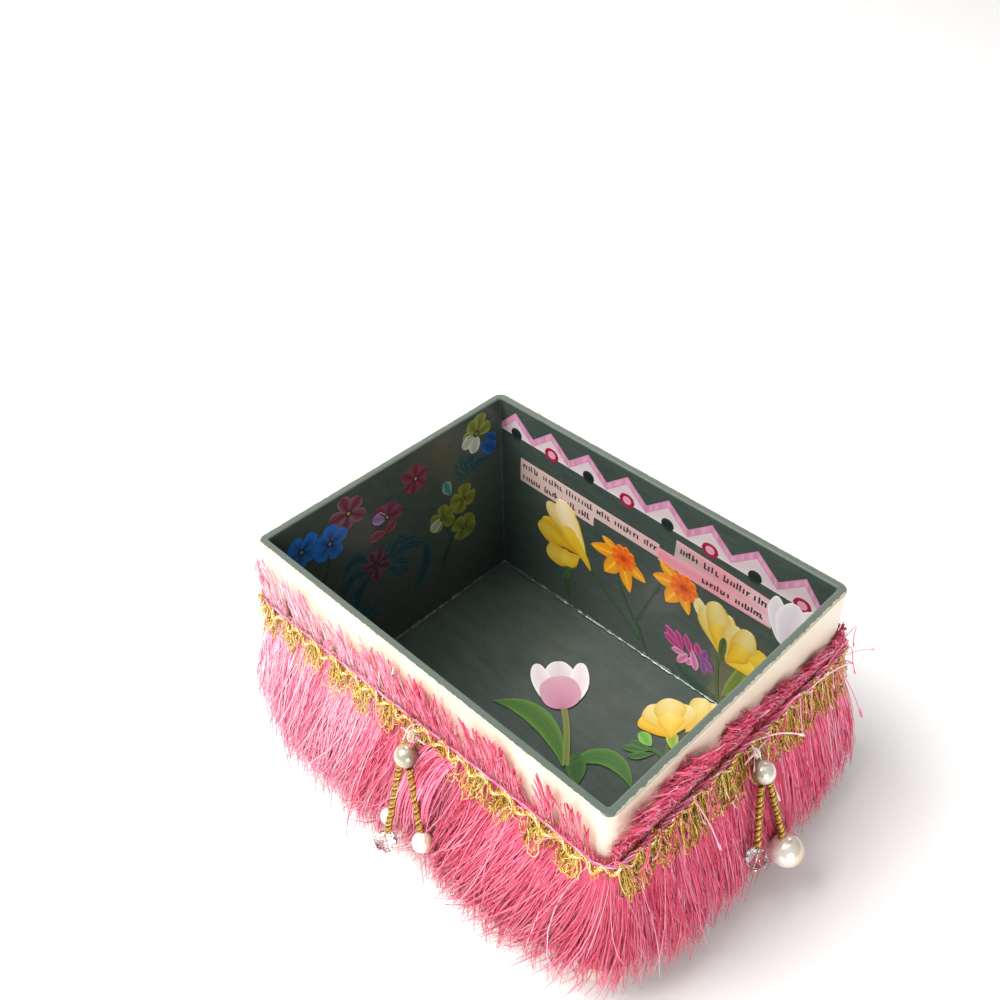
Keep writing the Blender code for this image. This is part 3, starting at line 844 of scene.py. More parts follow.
def long_strays():
    """A few long threads with fuzzy ends at the far end of the right wall.

    Each is where it starts before the corner, its rise, its run along the
    wall, its stand off the wall, its thickness and its paleness.
    """
    steps = 16
    arch, start_stand, fuzz = 0.0016, 0.0035, 0.00018
    share = np.linspace(0, 1, steps)
    parts = []
    for before, rise, run, stand, thick, pale in (
        (0.004, -0.0110, -0.001, 0.0105, 0.00012, 0.40),
        (0.004, -0.0190, -0.001, 0.0060, 0.00012, 0.30),
        (0.001, 0.0030, 0.004, 0.0060, 0.00011, 0.80),
        (0.018, 0.0030, 0.014, 0.0035, 0.00017, 0.95),
        (0.038, 0.0015, 0.008, 0.0075, 0.00017, 0.92),
        (0.030, 0.0100, 0.003, 0.003, 0.00016, 0.60),
        (0.012, 0.0110, 0.007, 0.002, 0.00012, 0.50),
        (0.040, -0.0180, 0.004, 0.008, 0.00018, 0.92),
        (0.062, -0.0150, 0.003, 0.007, 0.00016, 0.86),
    ):
        laps = RIGHT_END - before / LAP_LENGTH + run * share / LAP_LENGTH
        height = seam_height(laps) + rise * share + arch * np.sin(math.pi * share)
        paths = points_off(laps, start_stand + stand * share, height)[None]
        radii = np.full((1, steps), thick)
        radii[:, -2:] = thick + fuzz
        tints = ramp_between(np.full((1, steps), pale), DYES)
        parts.append(tube_parts(paths, radii, tints, ways_out(laps, GUIDE_RISE)[None], sides=5))
    return joined(parts)


def plies(path, guide, twist_radius, ply_radius, pitch, tints, sides=5):
    """Strands twisted round a path, one for each colour."""
    along = np.gradient(path, axis=0)
    along /= np.linalg.norm(along, axis=1, keepdims=True)
    first = np.cross(along, guide)
    first /= np.linalg.norm(first, axis=1, keepdims=True)
    second = np.cross(along, first)
    travelled = np.concatenate([[0.0], np.cumsum(np.linalg.norm(np.diff(path, axis=0), axis=1))])
    strands = []
    for place in range(len(tints)):
        angle = 2 * math.pi * (travelled / pitch + place / len(tints))
        spoke = first * column(np.cos(angle)) + second * column(np.sin(angle))
        strands.append(path + np.reshape(twist_radius, (-1, 1)) * spoke)
    paths = np.stack(strands)
    radii = np.broadcast_to(ply_radius, paths.shape[:2])
    colours = np.broadcast_to(np.array([linear(tint) for tint in tints])[:, None, :], paths.shape)
    return tube_parts(paths, radii, colours, np.broadcast_to(guide, paths.shape), sides)


def make_seam_cord():
    """Pale and lilac strands twisted along the seam, thicker on the right."""
    laps = np.linspace(0, 1, 900)
    wander = 0.0003 * np.sin(laps * 2 * math.pi * 13) + 0.0002 * np.sin(laps * 2 * math.pi * 29)
    thick = np.interp(laps, [0, FRONT_END, RIGHT_START, RIGHT_END, 0.6, 1], [1, 1, 1.9, 1.7, 1, 1])
    standoff = SEAM_CORD_STANDOFF + SEAM_CORD_SWELL * thick + wander * 0.5
    path = points_off(laps, standoff, seam_height(laps) + SEAM_CORD_RISE + wander)
    twist, ply = SEAM_CORD_TWIST_RADIUS * thick, SEAM_CORD_PLY_RADIUS * thick
    parts = [plies(path, ways_out(laps), twist, ply, SEAM_CORD_PITCH, SEAM_CORD_TINTS, sides=4)]
    strand_object("seam_strands", parts, silk_surface("silk_seam"), ("seam_cord",))


def gold_tint(laps, draw, count):
    """Gold that is brighter along the front and darker and more olive on the right: painted light on the lit
    front and painted shade on the right.
    """
    places = [0.0, FRONT_END, RIGHT_START, RIGHT_END, 1.0]
    painted_light_level = round_lap(laps, places, [0.85, 0.72, 0.50, 0.52, 0.85])
    return ramp_between(painted_light_level + draw.normal(0, 0.20, count), GOLDS)


def make_gold_braid():
    """A wavy gold cord, with clusters of loops and small curls under it."""
    draw = np.random.default_rng(31)
    laps = np.linspace(0, 1, 1600)
    phase = 2 * math.pi * BRAID_WAVES * laps + 1.2 * np.sin(2 * math.pi * 7 * laps)
    height = seam_height(laps) - BRAID_DROP + BRAID_SWING * np.sin(phase)
    path = points_on_skirt(laps, height, BRAID_STANDOFF + 0.0004 * np.cos(phase))
    round_back = (RIGHT_END, 1 + FRONT_END)
    on_right = (RIGHT_START, RIGHT_END)
    parts = [
        plies(path, ways_out(laps), BRAID_TWIST_RADIUS, BRAID_PLY_RADIUS, BRAID_PITCH, BRAID_TINTS, sides=4),
        hanging_loops(draw, round_back, 36, 15, 0.15, (0.0030, 0.0086), (0.0012, 0.0042), crumple=0.85),
        hanging_loops(draw, on_right, 10, 26, 0.24, (0.0050, 0.0130), (0.0014, 0.0044), crumple=0.7),
        small_curls(draw),
    ]
    strand_object("gold_braid", parts, gold_surface("gold_braid_thread"), ("loop_braid",))


def gold_strands(draw, laps, spot, height, lift, size=1.0):
    """Gold threads that lie on the skirt along the spots and heights given."""
    paths = points_on_skirt(spot, height, lift)
    count = len(laps)
    radii = np.full(paths.shape[:2], GOLD_THREAD_RADIUS * size) * column(draw.uniform(*THREAD_SIZES, count))
    tints = np.broadcast_to(gold_tint(laps, draw, count)[:, None, :], paths.shape)
    return tube_parts(paths, radii, tints, ways_out(laps, GOLD_GUIDE_RISE)[:, None, :], sides=3)


def hanging_loops(draw, ends, clusters, per_cluster, spread, depths, widths, crumple):
    """Clusters of thin loops that hang from the braid between two shares of a lap."""
    count, steps = clusters * per_cluster, 18
    cluster = np.repeat(np.arange(clusters), per_cluster)
    laps = ends[0] + (ends[1] - ends[0]) * (cluster + 0.5 + draw.normal(0, spread, count)) / clusters
    share = np.linspace(0, 1, steps)[None, :]
    arch = np.sin(math.pi * share)
    drop = LOOP_START + column(draw.uniform(*depths, count)) * arch**0.75
    kinks = []
    for size in LOOP_KINKS:
        start = column(draw.uniform(0, 2 * math.pi, count))
        turns = column(draw.uniform(*KINK_TURNS, count))
        kinks.append(size * crumple * np.sin(start + share * turns))
    height = column(seam_height(laps)) - drop + kinks[0]
    lean = column(draw.normal(-0.03, 0.16, count))
    half = column(draw.uniform(*widths, count)) / 2
    width = half * np.cos(math.pi * share) * (0.55 + 0.75 * arch)
    spot = column(laps) + (lean * drop - width + kinks[1]) / LAP_LENGTH
    lift = column(draw.uniform(*LOOP_LIFTS, count)) * (0.6 + 0.6 * arch)
    return gold_strands(draw, laps, spot, height, lift + kinks[2])


def small_curls(draw):
    """Tiny curls of gold thread scattered along the braid."""
    count, steps = 340, 12
    laps = draw.random(count)
    start, turns = column(draw.uniform(0, 2 * math.pi, count)), column(draw.uniform(*CURL_TURNS, count))
    turn = start + np.linspace(0, 1, steps)[None, :] * turns
    size = column(draw.uniform(*CURL_SIZES, count))
    drift = np.linspace(-0.5, 0.5, steps)[None, :] * column(draw.normal(0, CURL_DRIFT, count))
    height = column(seam_height(laps)) - column(draw.uniform(*CURL_DROPS, count)) + size * np.sin(turn)
    spot = column(laps) + (size * np.cos(turn) + drift) / LAP_LENGTH
    lift = column(draw.uniform(*CURL_LIFTS, count)) + 0.0003 * np.sin(turn * 0.7)
    return gold_strands(draw, laps, spot, height, lift, 0.95)


def middle_of(node):
    """The centre of a node and half its height."""
    low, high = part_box(node)
    return (low + high) / 2, (high.z - low.z) / 2


def lathe(name, centre, profile, segments=40):
    """A round piece turned about the upright axis through a centre."""
    angles = np.arange(segments) * 2 * math.pi / segments
    rings = []
    for radius, z in profile:
        rings.append([(radius * math.cos(angle), radius * math.sin(angle), z) for angle in angles])
    vertices = np.array(rings).reshape(-1, 3) + np.array(centre)
    index = np.arange(len(vertices)).reshape(len(profile), segments)
    following = np.roll(index, -1, axis=1)
    faces = np.stack([index[:-1], following[:-1], following[1:], index[1:]], axis=-1).reshape(-1, 4).tolist()
    faces.append(index[0, ::-1].tolist())
    faces.append(index[-1].tolist())
    return tinted_mesh(name, vertices, faces, np.ones((len(vertices), 3)))


def add_pearl(name, centre, radius, surface, body, reflection_and_shade, way=FRONT_REFLECTION_WAY):
    """A bead with a painted reflection of the gold and painted shade on one side, and dimples at its hole.
    """
    mouth = (radius * PEARL_HOLE, radius * PEARL_HOLE_HEIGHT)
    profile = [(mouth[0], -mouth[1])]
    for step in range(PEARL_ROWS + 1):
        angle = math.pi * (PEARL_CUT + (1 - 2 * PEARL_CUT) * step / PEARL_ROWS - 0.5)
        profile.append((radius * math.cos(angle), radius * math.sin(angle)))
    profile.append(mouth)
    made = lathe(name, centre, profile)
    corners = np.array([vertex.co for vertex in made.data.vertices]) - np.array(centre)
    # The side turned along the way takes the painted reflection of the gold and painted shade
    toward = corners @ way / (REFLECTION_REACH * radius)
    share = column(np.clip(REFLECTION_START + toward, 0, 1)) ** REFLECTION_FALL
    values = np.ones((len(corners), 4), np.float32)
    values[:, :3] = linear(body) * (1 - share) + linear(reflection_and_shade) * share
    made.data.color_attributes["tint"].data.foreach_set("color", values.ravel())
    finish_piece(made, surface)
    return made


def make_pearl(node, surface, body, reflection_and_shade, way=FRONT_REFLECTION_WAY):
    """A pearl in its node's place."""
    centre, radius = middle_of(node)
    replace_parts(add_pearl(f"{node}_bead", centre, radius, surface, body, reflection_and_shade, way), node)


def centreline(node, points):
    """A smooth line through the middle of a cord's node, from top to bottom."""
    corners = np.array([vertex.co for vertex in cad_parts[node].data.vertices])
    low, high = corners[:, 2].min(), corners[:, 2].max()
    rows = []
    for level in np.linspace(high, low, CORD_LEVELS):
        near = np.abs(corners[:, 2] - level) < (high - low) / CORD_LEVELS
        rows.append(corners[near].mean(axis=0))
    rows = np.array(rows)
    rows[0, 2], rows[-1, 2] = high, low
    places = np.linspace(0, 1, len(rows))
    wanted = np.linspace(0, 1, points)
    return np.stack([np.interp(wanted, places, rows[:, axis]) for axis in range(3)], axis=1)


def make_rope(node):
    """A twisted gold cord along the line of its node."""
    path = centreline(node, 90)
    guide = np.broadcast_to(np.array([0.31, 0.95, 0.02]), path.shape)
    parts = [plies(path, guide, ROPE_TWIST_RADIUS, ROPE_PLY_RADIUS, ROPE_PITCH, ROPE_TINTS)]
    strand_object(f"{node}_rope", parts, gold_surface(f"{node}_thread", 0.25), (node,))


def knot_turns(centre, radius, draw):
    """Turns of pale thread wound about each other."""
    steps = 40
    angles = np.linspace(0, 2 * math.pi, steps)
    parts = []
    for _ in range(KNOT_TURNS):
        axis = Vector((draw.uniform(-1, 1), draw.uniform(-1, 1), draw.uniform(-0.6, 0.6))).normalized()
        first = axis.orthogonal().normalized()
        second = axis.cross(first)
        size = radius * draw.uniform(0.35, 0.86)
        ring = size * (np.outer(np.cos(angles), first) + np.outer(np.sin(angles), second)) + np.array(centre)
        ring += np.outer(0.15 * radius * np.sin(3 * angles), axis)
        radii = np.full((1, steps), KNOT_THREAD_RADIUS)
        tints = np.broadcast_to(linear(draw.choice(KNOT_TINTS)), (1, steps, 3))
        parts.append(tube_parts(ring[None], radii, tints, np.array(axis)[None, None, :], sides=5))
    return parts


def knot_tails(centre, radius, draw):
    """Loose ends of thread that run out of a knot along the wall."""
    steps = 10
    share = np.linspace(0, 1, steps)[:, None]
    side = np.array([-centre.y, centre.x, 0.0]) / math.hypot(centre.x, centre.y)
    parts = []
    for _ in range(KNOT_TAILS):
        reach = draw.choice((-1, 1)) * draw.uniform(1.2, 3.2) * radius
        rise = draw.uniform(-0.2, 0.7) * radius
        tail = np.array(centre) + side * reach * share + np.array([0, 0, 1]) * rise * np.sin(math.pi * share)
        radii = np.full((1, steps), KNOT_TAIL_RADIUS)
        tints = np.broadcast_to(linear(draw.choice(KNOT_TAIL_TINTS)), (1, steps, 3))
        parts.append(tube_parts(tail[None], radii, tints, np.array([[[0.3, 0.2, 0.9]]]), sides=4))
    return parts


def make_thread_knot(node):
    """A knot of pale thread in its node's place, with loose ends."""
    centre, radius = middle_of(node)
    draw = random.Random(node)
    parts = knot_turns(centre, radius, draw) + knot_tails(centre, radius, draw)
    strand_object(f"{node}_threads", parts, silk_surface(f"{node}_silk"), (node,))


def crystal_surface():
    """Clear cut crystal."""
    glass = Surface("cut_crystal", Transmission_Weight=1.0, IOR=1.54, Specular_IOR_Level=0.6)
    cloud = glass.noise(300.0)
    glass.base(glass.mixed(cloud, (0.97, 0.97, 1.0), (1.0, 0.99, 0.97)))
    glass.rough(glass.spread(cloud, 0.3, 0.7, 0.0, 0.02))
    return glass.material


def pin_surface():
    """Silvery wire."""
    wire = Surface("pin_wire", Metallic=1.0)
    cloud = wire.noise(900.0)
    wire.base(wire.mixed(cloud, "#B9AE9A", "#E6DFD2"))
    wire.rough(wire.spread(cloud, 0.3, 0.7, 0.15, 0.3))
    return wire.material


def make_crystal(node, pin_node, glass, wire):
    """A cut crystal bead on its head pin."""
    centre, radius = middle_of(node)
    cut = [(radius * wide, radius * high) for wide, high in CRYSTAL_CUT]
    stone = lathe(f"{node}_stone", centre, cut, CRYSTAL_FACETS)
    stone.data.shade_flat()
    finish_piece(stone, glass, (node,))
    foot, half = middle_of(pin_node)
    top = centre.z + radius * 1.15
    pin = [(wide, foot.z + half * high) for wide, high in PIN_HEAD]
    pin += [(PIN_RADIUS, top), (PIN_TIP_RADIUS, top + PIN_TIP_RADIUS)]
    made = lathe(f"{pin_node}_wire", Vector((foot.x, foot.y, 0.0)), pin, PIN_FACETS)
    finish_piece(made, wire, (pin_node,))


def make_drops():
    """The bead drops in the middle of each side."""
    nacre = pearl_surface()
    # Each pair is a pearl's body colour and the colour of its painted reflection of the gold and painted
    # shade
    ivory, white, gold_reflecting = ("#DAD5C4", "#6A4408"), ("#F4EEE2", "#CDB78E"), ("#A8A48C", "#4A2E04")
    glass, wire = crystal_surface(), pin_surface()
    for side in ("front", "right", "back", "left"):
        make_thread_knot(f"{side}_knot")
        tones = gold_reflecting if side == "front" else ivory
        way = RIGHT_REFLECTION_WAY if side == "right" else FRONT_REFLECTION_WAY
        make_pearl(f"{side}_small_pearl", nacre, *tones, way)
    for side in ("right", "back", "left"):
        make_pearl(f"{side}_large_pearl", nacre, *white)
        make_rope(f"{side}_large_pearl_cord")
    make_pearl("front_side_pearl", nacre, *white)
    make_rope("front_side_pearl_cord")
    centre, radius = HIDDEN_PEARL
    add_pearl("front_hidden_pearl", Vector(centre), radius, nacre, *white)
    for side in ("front", "right"):
        make_rope(f"{side}_crystal_cord")
        make_crystal(f"{side}_crystal", f"{side}_pin_head", glass, wire)


class Board:
    """Paper cut-outs on one inner face of the box, gathered into one mesh.

    ACROSS are the points across a strip and LIFTED which of them stand off the
    face, by the paper, by a layer for each level and by a step for each part
    before it, so that no two lie in one plane. POINT is the least width of a
    strip, in millimetres.
    """

    MM_PER_METRE = 1000
    ACROSS = (-1.0, -1.0, -0.62, 0.0, 0.62, 1.0, 1.0)
    LIFTED = (0.0, 1.0, 1.0, 1.0, 1.0, 1.0, 0.0)
    PAPER = 0.00008
    LAYER = 0.000005
    STEP = 0.000000375
    POINT = 0.05

    def __init__(self, name, origin, right, up):
        self.name = name
        self.origin = np.array(origin)
        self.right = np.array(right, float)
        self.up = np.array(up, float)
        self.facing = np.cross(self.right, self.up)
        self.parts = []

    def between(self, first, second, middle, edge, level=0):
        """A strip of paper between two lines, given in metres on the face.

        middle and edge are hex codes, or tuples of them along the strip.
        """
        even = np.linspace(0, 1, len(first))
        centre_tints = ramp_between(even, middle if isinstance(middle, tuple) else (middle, middle))
        edge_tints = ramp_between(even, edge if isinstance(edge, tuple) else (edge, edge))
        rows = [0, *range(len(first)), len(first) - 1]
        raised = [0.0] + [1.0] * len(first) + [0.0]
        height = self.PAPER + self.LAYER * level + self.STEP * len(self.parts)
        vertices, tints = [], []
        for row, up in zip(rows, raised):
            for across, lifted in zip(self.ACROSS, self.LIFTED):
                flat = (first[row] + second[row]) / 2 + (second[row] - first[row]) / 2 * across
                lift = height * lifted * up
                vertices.append(self.origin + self.right * flat[0] + self.up * flat[1] + self.facing * lift)
                share = across**2
                tints.append(centre_tints[row] * (1 - share) + edge_tints[row] * share)
        wide = len(self.ACROSS)
        index = np.arange(len(vertices)).reshape(len(rows), wide)
        faces = np.stack([index[:-1, :-1], index[1:, :-1], index[1:, 1:], index[:-1, 1:]], axis=-1)
        faces = faces.reshape(-1, 4)[:, ::-1].tolist()
        self.parts.append((np.array(vertices), faces, np.array(tints)))

    def ribbon(self, line, widths, middle, edge, level=0, ruffle=0.0):
        """A strip of paper along a line, given in millimetres on the face."""
        line = np.array(line, float) / self.MM_PER_METRE
        widths = np.array(widths, float) / self.MM_PER_METRE
        along = np.gradient(line, axis=0)
        along /= np.maximum(np.linalg.norm(along, axis=1, keepdims=True), TINY)
        side = np.stack([-along[:, 1], along[:, 0]], axis=1) * widths[:, None] / 2
        wave = np.linspace(0, 4 * math.pi, len(line))[:, None] + len(self.parts)
        first = line - side * (1 + ruffle * np.sin(wave))
        second = line + side * (1 + ruffle * np.sin(wave + 2))
        self.between(first, second, middle, edge, level)

    def band(self, corners, deep, middle, edge, level=0):
        """A strip with level ends under a line with corners, in millimetres."""
        line = np.array(corners, float) / self.MM_PER_METRE
        lower = line - np.stack([np.zeros(len(line)), np.array(deep, float) / self.MM_PER_METRE], axis=1)
        self.between(lower, line, middle, edge, level)

    def lobe(
        self, root, tip, width, middle, edge, level=0, bluntness=0.5, fullest=1.4, sweep=0.0, ruffle=0.06
    ):
        """A petal or bud from its root to its tip, bulging left by a sweep."""
        root, tip = np.array(root, float), np.array(tip, float)
        share = (1 - np.cos(np.linspace(0, math.pi, 17)))[:, None] / 2
        way = tip - root
        bulge = np.array([-way[1], way[0]]) * sweep * np.sin(math.pi * share)
        widths = width * np.sin(math.pi * share[:, 0] ** fullest) ** bluntness
        self.ribbon(root + way * share + bulge, np.maximum(widths, self.POINT), middle, edge, level, ruffle)

    def petal(self, root, angle, length, width, middle, edge, level=0, bluntness=0.6, fullest=1.0):
        """A petal or blade from its root, pointing at an angle in degrees."""
        turned = math.radians(angle)
        tip = (root[0] + length * math.cos(turned), root[1] + length * math.sin(turned))
        self.lobe(root, tip, width, middle, edge, level, bluntness, fullest)

    def disc(self, centre, radius, middle, edge, level=0, stretch=1.0):
        """A round spot, stretched across."""
        share = np.linspace(-1, 1, 11)
        line = np.array(centre, float) + np.stack([radius * stretch * share, np.zeros(11)], axis=1)
        self.ribbon(line, np.maximum(2 * radius * np.sqrt(1 - share**2), self.POINT), middle, edge, level)

    def bend(self, points, widths, middle, edge, level=0, steps=12):
        """A strip along a smooth curve through three points."""
        start, through, end = (np.array(point, float) for point in points)
        control = 2 * through - (start + end) / 2
        share = np.linspace(0, 1, steps)[:, None]
        line = start * (1 - share) ** 2 + 2 * control * share * (1 - share) + end * share**2
        along = np.interp(share[:, 0], np.linspace(0, 1, len(widths)), widths)
        self.ribbon(line, along, middle, edge, level)

    def leaf(self, points, width, middle, edge, level=0):
        """A pointed leaf along a curve, with a paler rib."""
        self.bend(points, (0.3, width * 0.75, width, width * 0.8, 0.1), middle, edge, level)
        self.bend(points, (0.1, 0.25, 0.2, 0.1), edge, middle, level + 1)

    def fan(self, root, tips, width, middle, edge, level=0):
        """Leaves that spread from one root to several tips."""
        for place, tip in enumerate(tips):
            self.lobe(root, tip, width, middle, edge, level + place % 2, 0.75, 1.2, 0.12)
            self.lobe(root, tip, width * 0.12, edge, edge, level + 3, 0.75, 1.2, 0.12, 0.0)

    def stem(self, points, width, middle, edge, level=0):
        """A thin stem along a curve."""
        self.bend(points, (width, width), middle, edge, level, steps=8)

    def blossom(self, centre, radius, petals, middle, edge, eye, turn=0.0, level=1, missing=()):
        """An open flower seen from the front, with petals of its own sizes."""
        draw = random.Random(str(centre))
        width = 1.42 * radius * math.sin(math.pi / petals)
        for petal in range(petals):
            angle = turn + 360 * petal / petals + draw.uniform(-9, 9)
            reach = radius * draw.uniform(0.88, 1.12)
            if petal in missing:
                continue
            wide = width * draw.uniform(0.9, 1.1)
            body = (eye[1], eye[0], middle, middle)
            self.petal(centre, angle, reach, wide, body, edge, level + petal % 2, 0.5, 1.8)
            self.petal(centre, angle, reach * 0.7, width * 0.10, eye[0], middle, level + 3)
        self.disc(centre, radius * 0.20, eye[1], eye[0], level + 4)
        self.disc(centre, radius * 0.09, eye[2], eye[2], level + 5)

    def make(self):
        """The mesh of all the cut-outs, on the box."""
        made = tinted_mesh(self.name, *joined(self.parts), smooth=False)
        finish_piece(made, paper_surface(f"{self.name}_print"))


TEAL = ("#06222B", "#1E5F68")
INK = ("#2A2628", "#3A3234")
STROKE = (0.50, 0.50, 0.50)
DEEP_BLUE = ("#0A3A7A", "#1F6AB8")
GREEN = ("#2A5426", "#4E7E34")
DARK_GREEN = ("#1D3A24", "#3C6232")
OLIVE = ("#41601C", "#84A03A")
CREAM = ("#D0A422", "#DDC56A", "#E2D6A4")
YELLOW = ("#C98E0C", "#E3BA1E", "#E8CE58")


def fill_left_wall(board):
    """Painted posies on the left wall. Places are Y and Z in millimetres."""
    top_leaves = ((22.5, 56.2), (25.6, 58.0), (30.4, 56.0), (35.6, 51.2), (23.5, 50.4))
    board.fan((28.9, 49.4), top_leaves, 3.6, *TEAL)
    board.lobe((34.0, 57.5), (39.4, 52.4), 5.0, *DEEP_BLUE, 2)
    board.lobe((36.5, 60.0), (39.2, 56.2), 3.6, *DEEP_BLUE, 3)
    board.lobe((20.4, 45.6), (18.4, 51.6), 3.6, "#1F6A70", "#79BDB5", 1)
    for top in ((24, 38), (17, 35), (24, 27)):
        board.stem((top, (19, 27), (14.8, 18.5)), 0.5, "#16332A", "#214A3A")
    yellow_eye = ("#565C16", "#1C1F0A", "#7E8834")
    board.blossom((32.1, 62.4), 6.3, 6, "#707B1E", "#9CA34C", yellow_eye, 60, 2, (3, 4))
    for tip in ((26.2, 60.2), (30.6, 55.8)):
        board.lobe((32.0, 62.0), tip, 4.6, "#A9B49A", "#DDE5DA", 4)
    for centre, turn, petals in (((25.3, 41.0), 70, 4), ((16.5, 38.7), 20, 5), ((25.1, 29.6), 50, 4)):
        board.blossom(centre, 5.4, petals, "#6B751E", "#8F9948", yellow_eye, turn, 2)
    board.lobe((16.5, 38.7), (11.6, 36.4), 4.4, "#98A27A", "#CBD2B4", 5)
    red_eye = ("#5E0E22", "#1C060A", "#B8B060")
    board.blossom((7.5, 59.9), 5.4, 6, "#6C1630", "#8B485E", red_eye, 80, 2)
    board.blossom((-17.0, 62.3), 6.0, 5, "#6F1A32", "#9A6C7B", red_eye, 30, 2)
    board.blossom((-4.1, 52.6), 5.6, 5, "#6E1E40", "#924A70", red_eye, 62, 2, (2, 3))
    board.lobe((-4.1, 52.6), (-9.2, 54.6), 4.2, "#8E6A9A", "#D0B8D6", 4)
    board.lobe((-5.0, 47.6), (-11.4, 48.4), 3.4, "#86192E", "#B4606A", 2)
    board.lobe((-5.6, 47.0), (-1.2, 49.6), 3.2, "#7C182A", "#AC5A62", 2)
    board.blossom((-10.1, 37.6), 5.6, 7, "#4E1434", "#8A4A76", ("#2A0818", "#12040A", "#7A3A5C"), 10, 4)
    blue_eye = ("#06285E", "#050C1E", "#7A9AC0")
    for centre, turn in (((-33.7, 59.0), 40), ((-24.5, 55.9), 75)):
        board.blossom(centre, 5.9, 5, "#0874E0", "#1486E4", blue_eye, turn, 2)
    board.stem(((-25, 51), (-27, 46), (-30.5, 42)), 0.5, "#16302A", "#22443A")
    board.fan((-5.6, 37.0), ((-3.4, 42.4), (1.6, 42.0), (5.8, 38.6), (8.8, 33.6)), 3.6, *TEAL)
    board.leaf(((8.6, 34.0), (8.4, 25.6), (3.0, 17.8)), 5.6, *TEAL, 1)
    board.fan((-5.8, 34.0), ((-1.6, 32.6), (2.6, 30.4), (1.6, 26.8), (-2.4, 27.8)), 3.2, *TEAL, 1)
    for level, (points, width) in enumerate(
        (
            (((-12.6, 39.8), (-17.2, 44.4), (-21.6, 40.6)), 4.6),
            (((-13.0, 36.6), (-19.6, 38.0), (-23.0, 32.0)), 5.0),
            (((-12.0, 34.4), (-17.4, 31.4), (-18.4, 24.4)), 4.8),
        )
    ):
        board.leaf(points, width, *TEAL, level)
    low_leaves = ((-19.6, 23.6), (-15.6, 25.4), (-11.4, 22.8), (-10.0, 18.4))
    board.fan((-17.4, 16.4), low_leaves, 2.8, "#082A32", "#1F5C62")


def spray(board, root, lobes, level=1):
    """A trumpet flower: lobes that open from one root, each with its colours.

    A lobe is its tip, its width, its colours from root to tip and its sweep.
    """
    for place, (tip, width, body, sweep) in enumerate(lobes):
        edge = (body[0], body[0], body[1])
        board.lobe(root, tip, width * 1.1, body, edge, level + place, 0.55, 2.2, sweep, 0.10)


def daffodil(board, centre, tips, cup, level=1):
    """Pointed petals behind an orange trumpet that faces the right."""
    for place, (tip, width) in enumerate(tips):
        petal = level + place
        board.lobe(centre, tip, width, ("#D9700C", "#F09A12", "#F4B424"), "#D98A10", petal, 0.75, 0.95)
        board.lobe(centre, tip, width * 0.16, "#F8C83A", "#F09A12", petal + 0.5, 0.8, 0.9)
    mouth = (centre[0] + cup * 0.22, centre[1] + cup * 0.04)
    flame, notches = ("#D8500C", "#E8600E"), 9
    for notch in range(notches):
        angle = notch * 360 / notches
        board.petal(mouth, angle, cup * 1.12, cup * 0.72, flame, "#F28A1C", level + 8, 0.5, 1.5)
    board.disc(mouth, cup * 0.62, "#DE4F0A", "#EA6A10", level + 10)
    board.disc(mouth, cup * 0.30, "#B83A06", "#D84C0A", level + 11)


def paper_border(board):
    """A row of gabled shapes in pink check along the top of the back wall."""
    first, pitch, houses = -51.3, 14.37, 8
    roof, lean = 2.7, 0.03
    line = [(-57.4, 61.2)]
    for house in range(houses):
        middle = first + pitch * house
        line.append((middle, 67.5 - lean * house))
        line.append((min(middle + pitch / 2, 54.6), 61.3 - lean * house))
    steps = 9
    corners = []
    for (x, z), (next_x, next_z) in zip(line, line[1:]):
        for step in range(steps):
            share = step / steps
            corners.append((x + (next_x - x) * share, z + (next_z - z) * share))
    corners.append(line[-1])
    base = [59.0 - 0.018 * (x - first) for x, _ in corners]
    deep = [z - low for (_, z), low in zip(corners, base)]
    board.band(corners, deep, "#CDBEC0", "#E0D0D4")
    draw = random.Random(4)
    mottled = tuple(draw.choice(("#CC8CAC", "#D79EBA", "#C27F9F")) for _ in corners)
    board.band(corners, [min(roof, low) for low in deep], mottled, "#C884A6", 1)
    for house in range(houses):
        spot = (first + pitch * house + 0.4, 59.9 - 0.26 * house)
        if house % 2:
            board.disc(spot, 2.3, "#8E1030", "#A81C40", 3, 1.2)
            board.disc(spot, 1.3, "#D890A8", "#D8A0B4", 4, 1.2)
        else:
            board.disc(spot, 2.1, "#141A1C", "#2A3436", 3, 1.05)


def stroke_row(board, seed, start, end, height):
    """A row of short upright strokes, grouped by gaps, that spell nothing."""
    draw = random.Random(seed)
    (x, z), (end_x, end_z) = start, end
    slope = (end_z - z) / (end_x - x)
    group = draw.randint(5, 8)
    while x < end_x:
        if group == 0:
            group = draw.randint(4, 9)
            x += 1.5
            continue
        level = start[1] + slope * (x - start[0])
        tall = height * draw.choice((0.75, 0.75, 0.85, 1.3))
        board.ribbon([(x, level - height * 0.4), (x, level), (x, level + tall * 0.6)], STROKE, *INK, 2)
        if draw.random() < 0.5:
            lift = level + height * draw.choice((-0.3, 0.0, 0.3))
            board.ribbon([(x, lift), (x + 0.4, lift), (x + 0.8, lift)], STROKE, *INK, 2)
        x += draw.choice((0.95, 1.15, 1.35))
        group -= 1


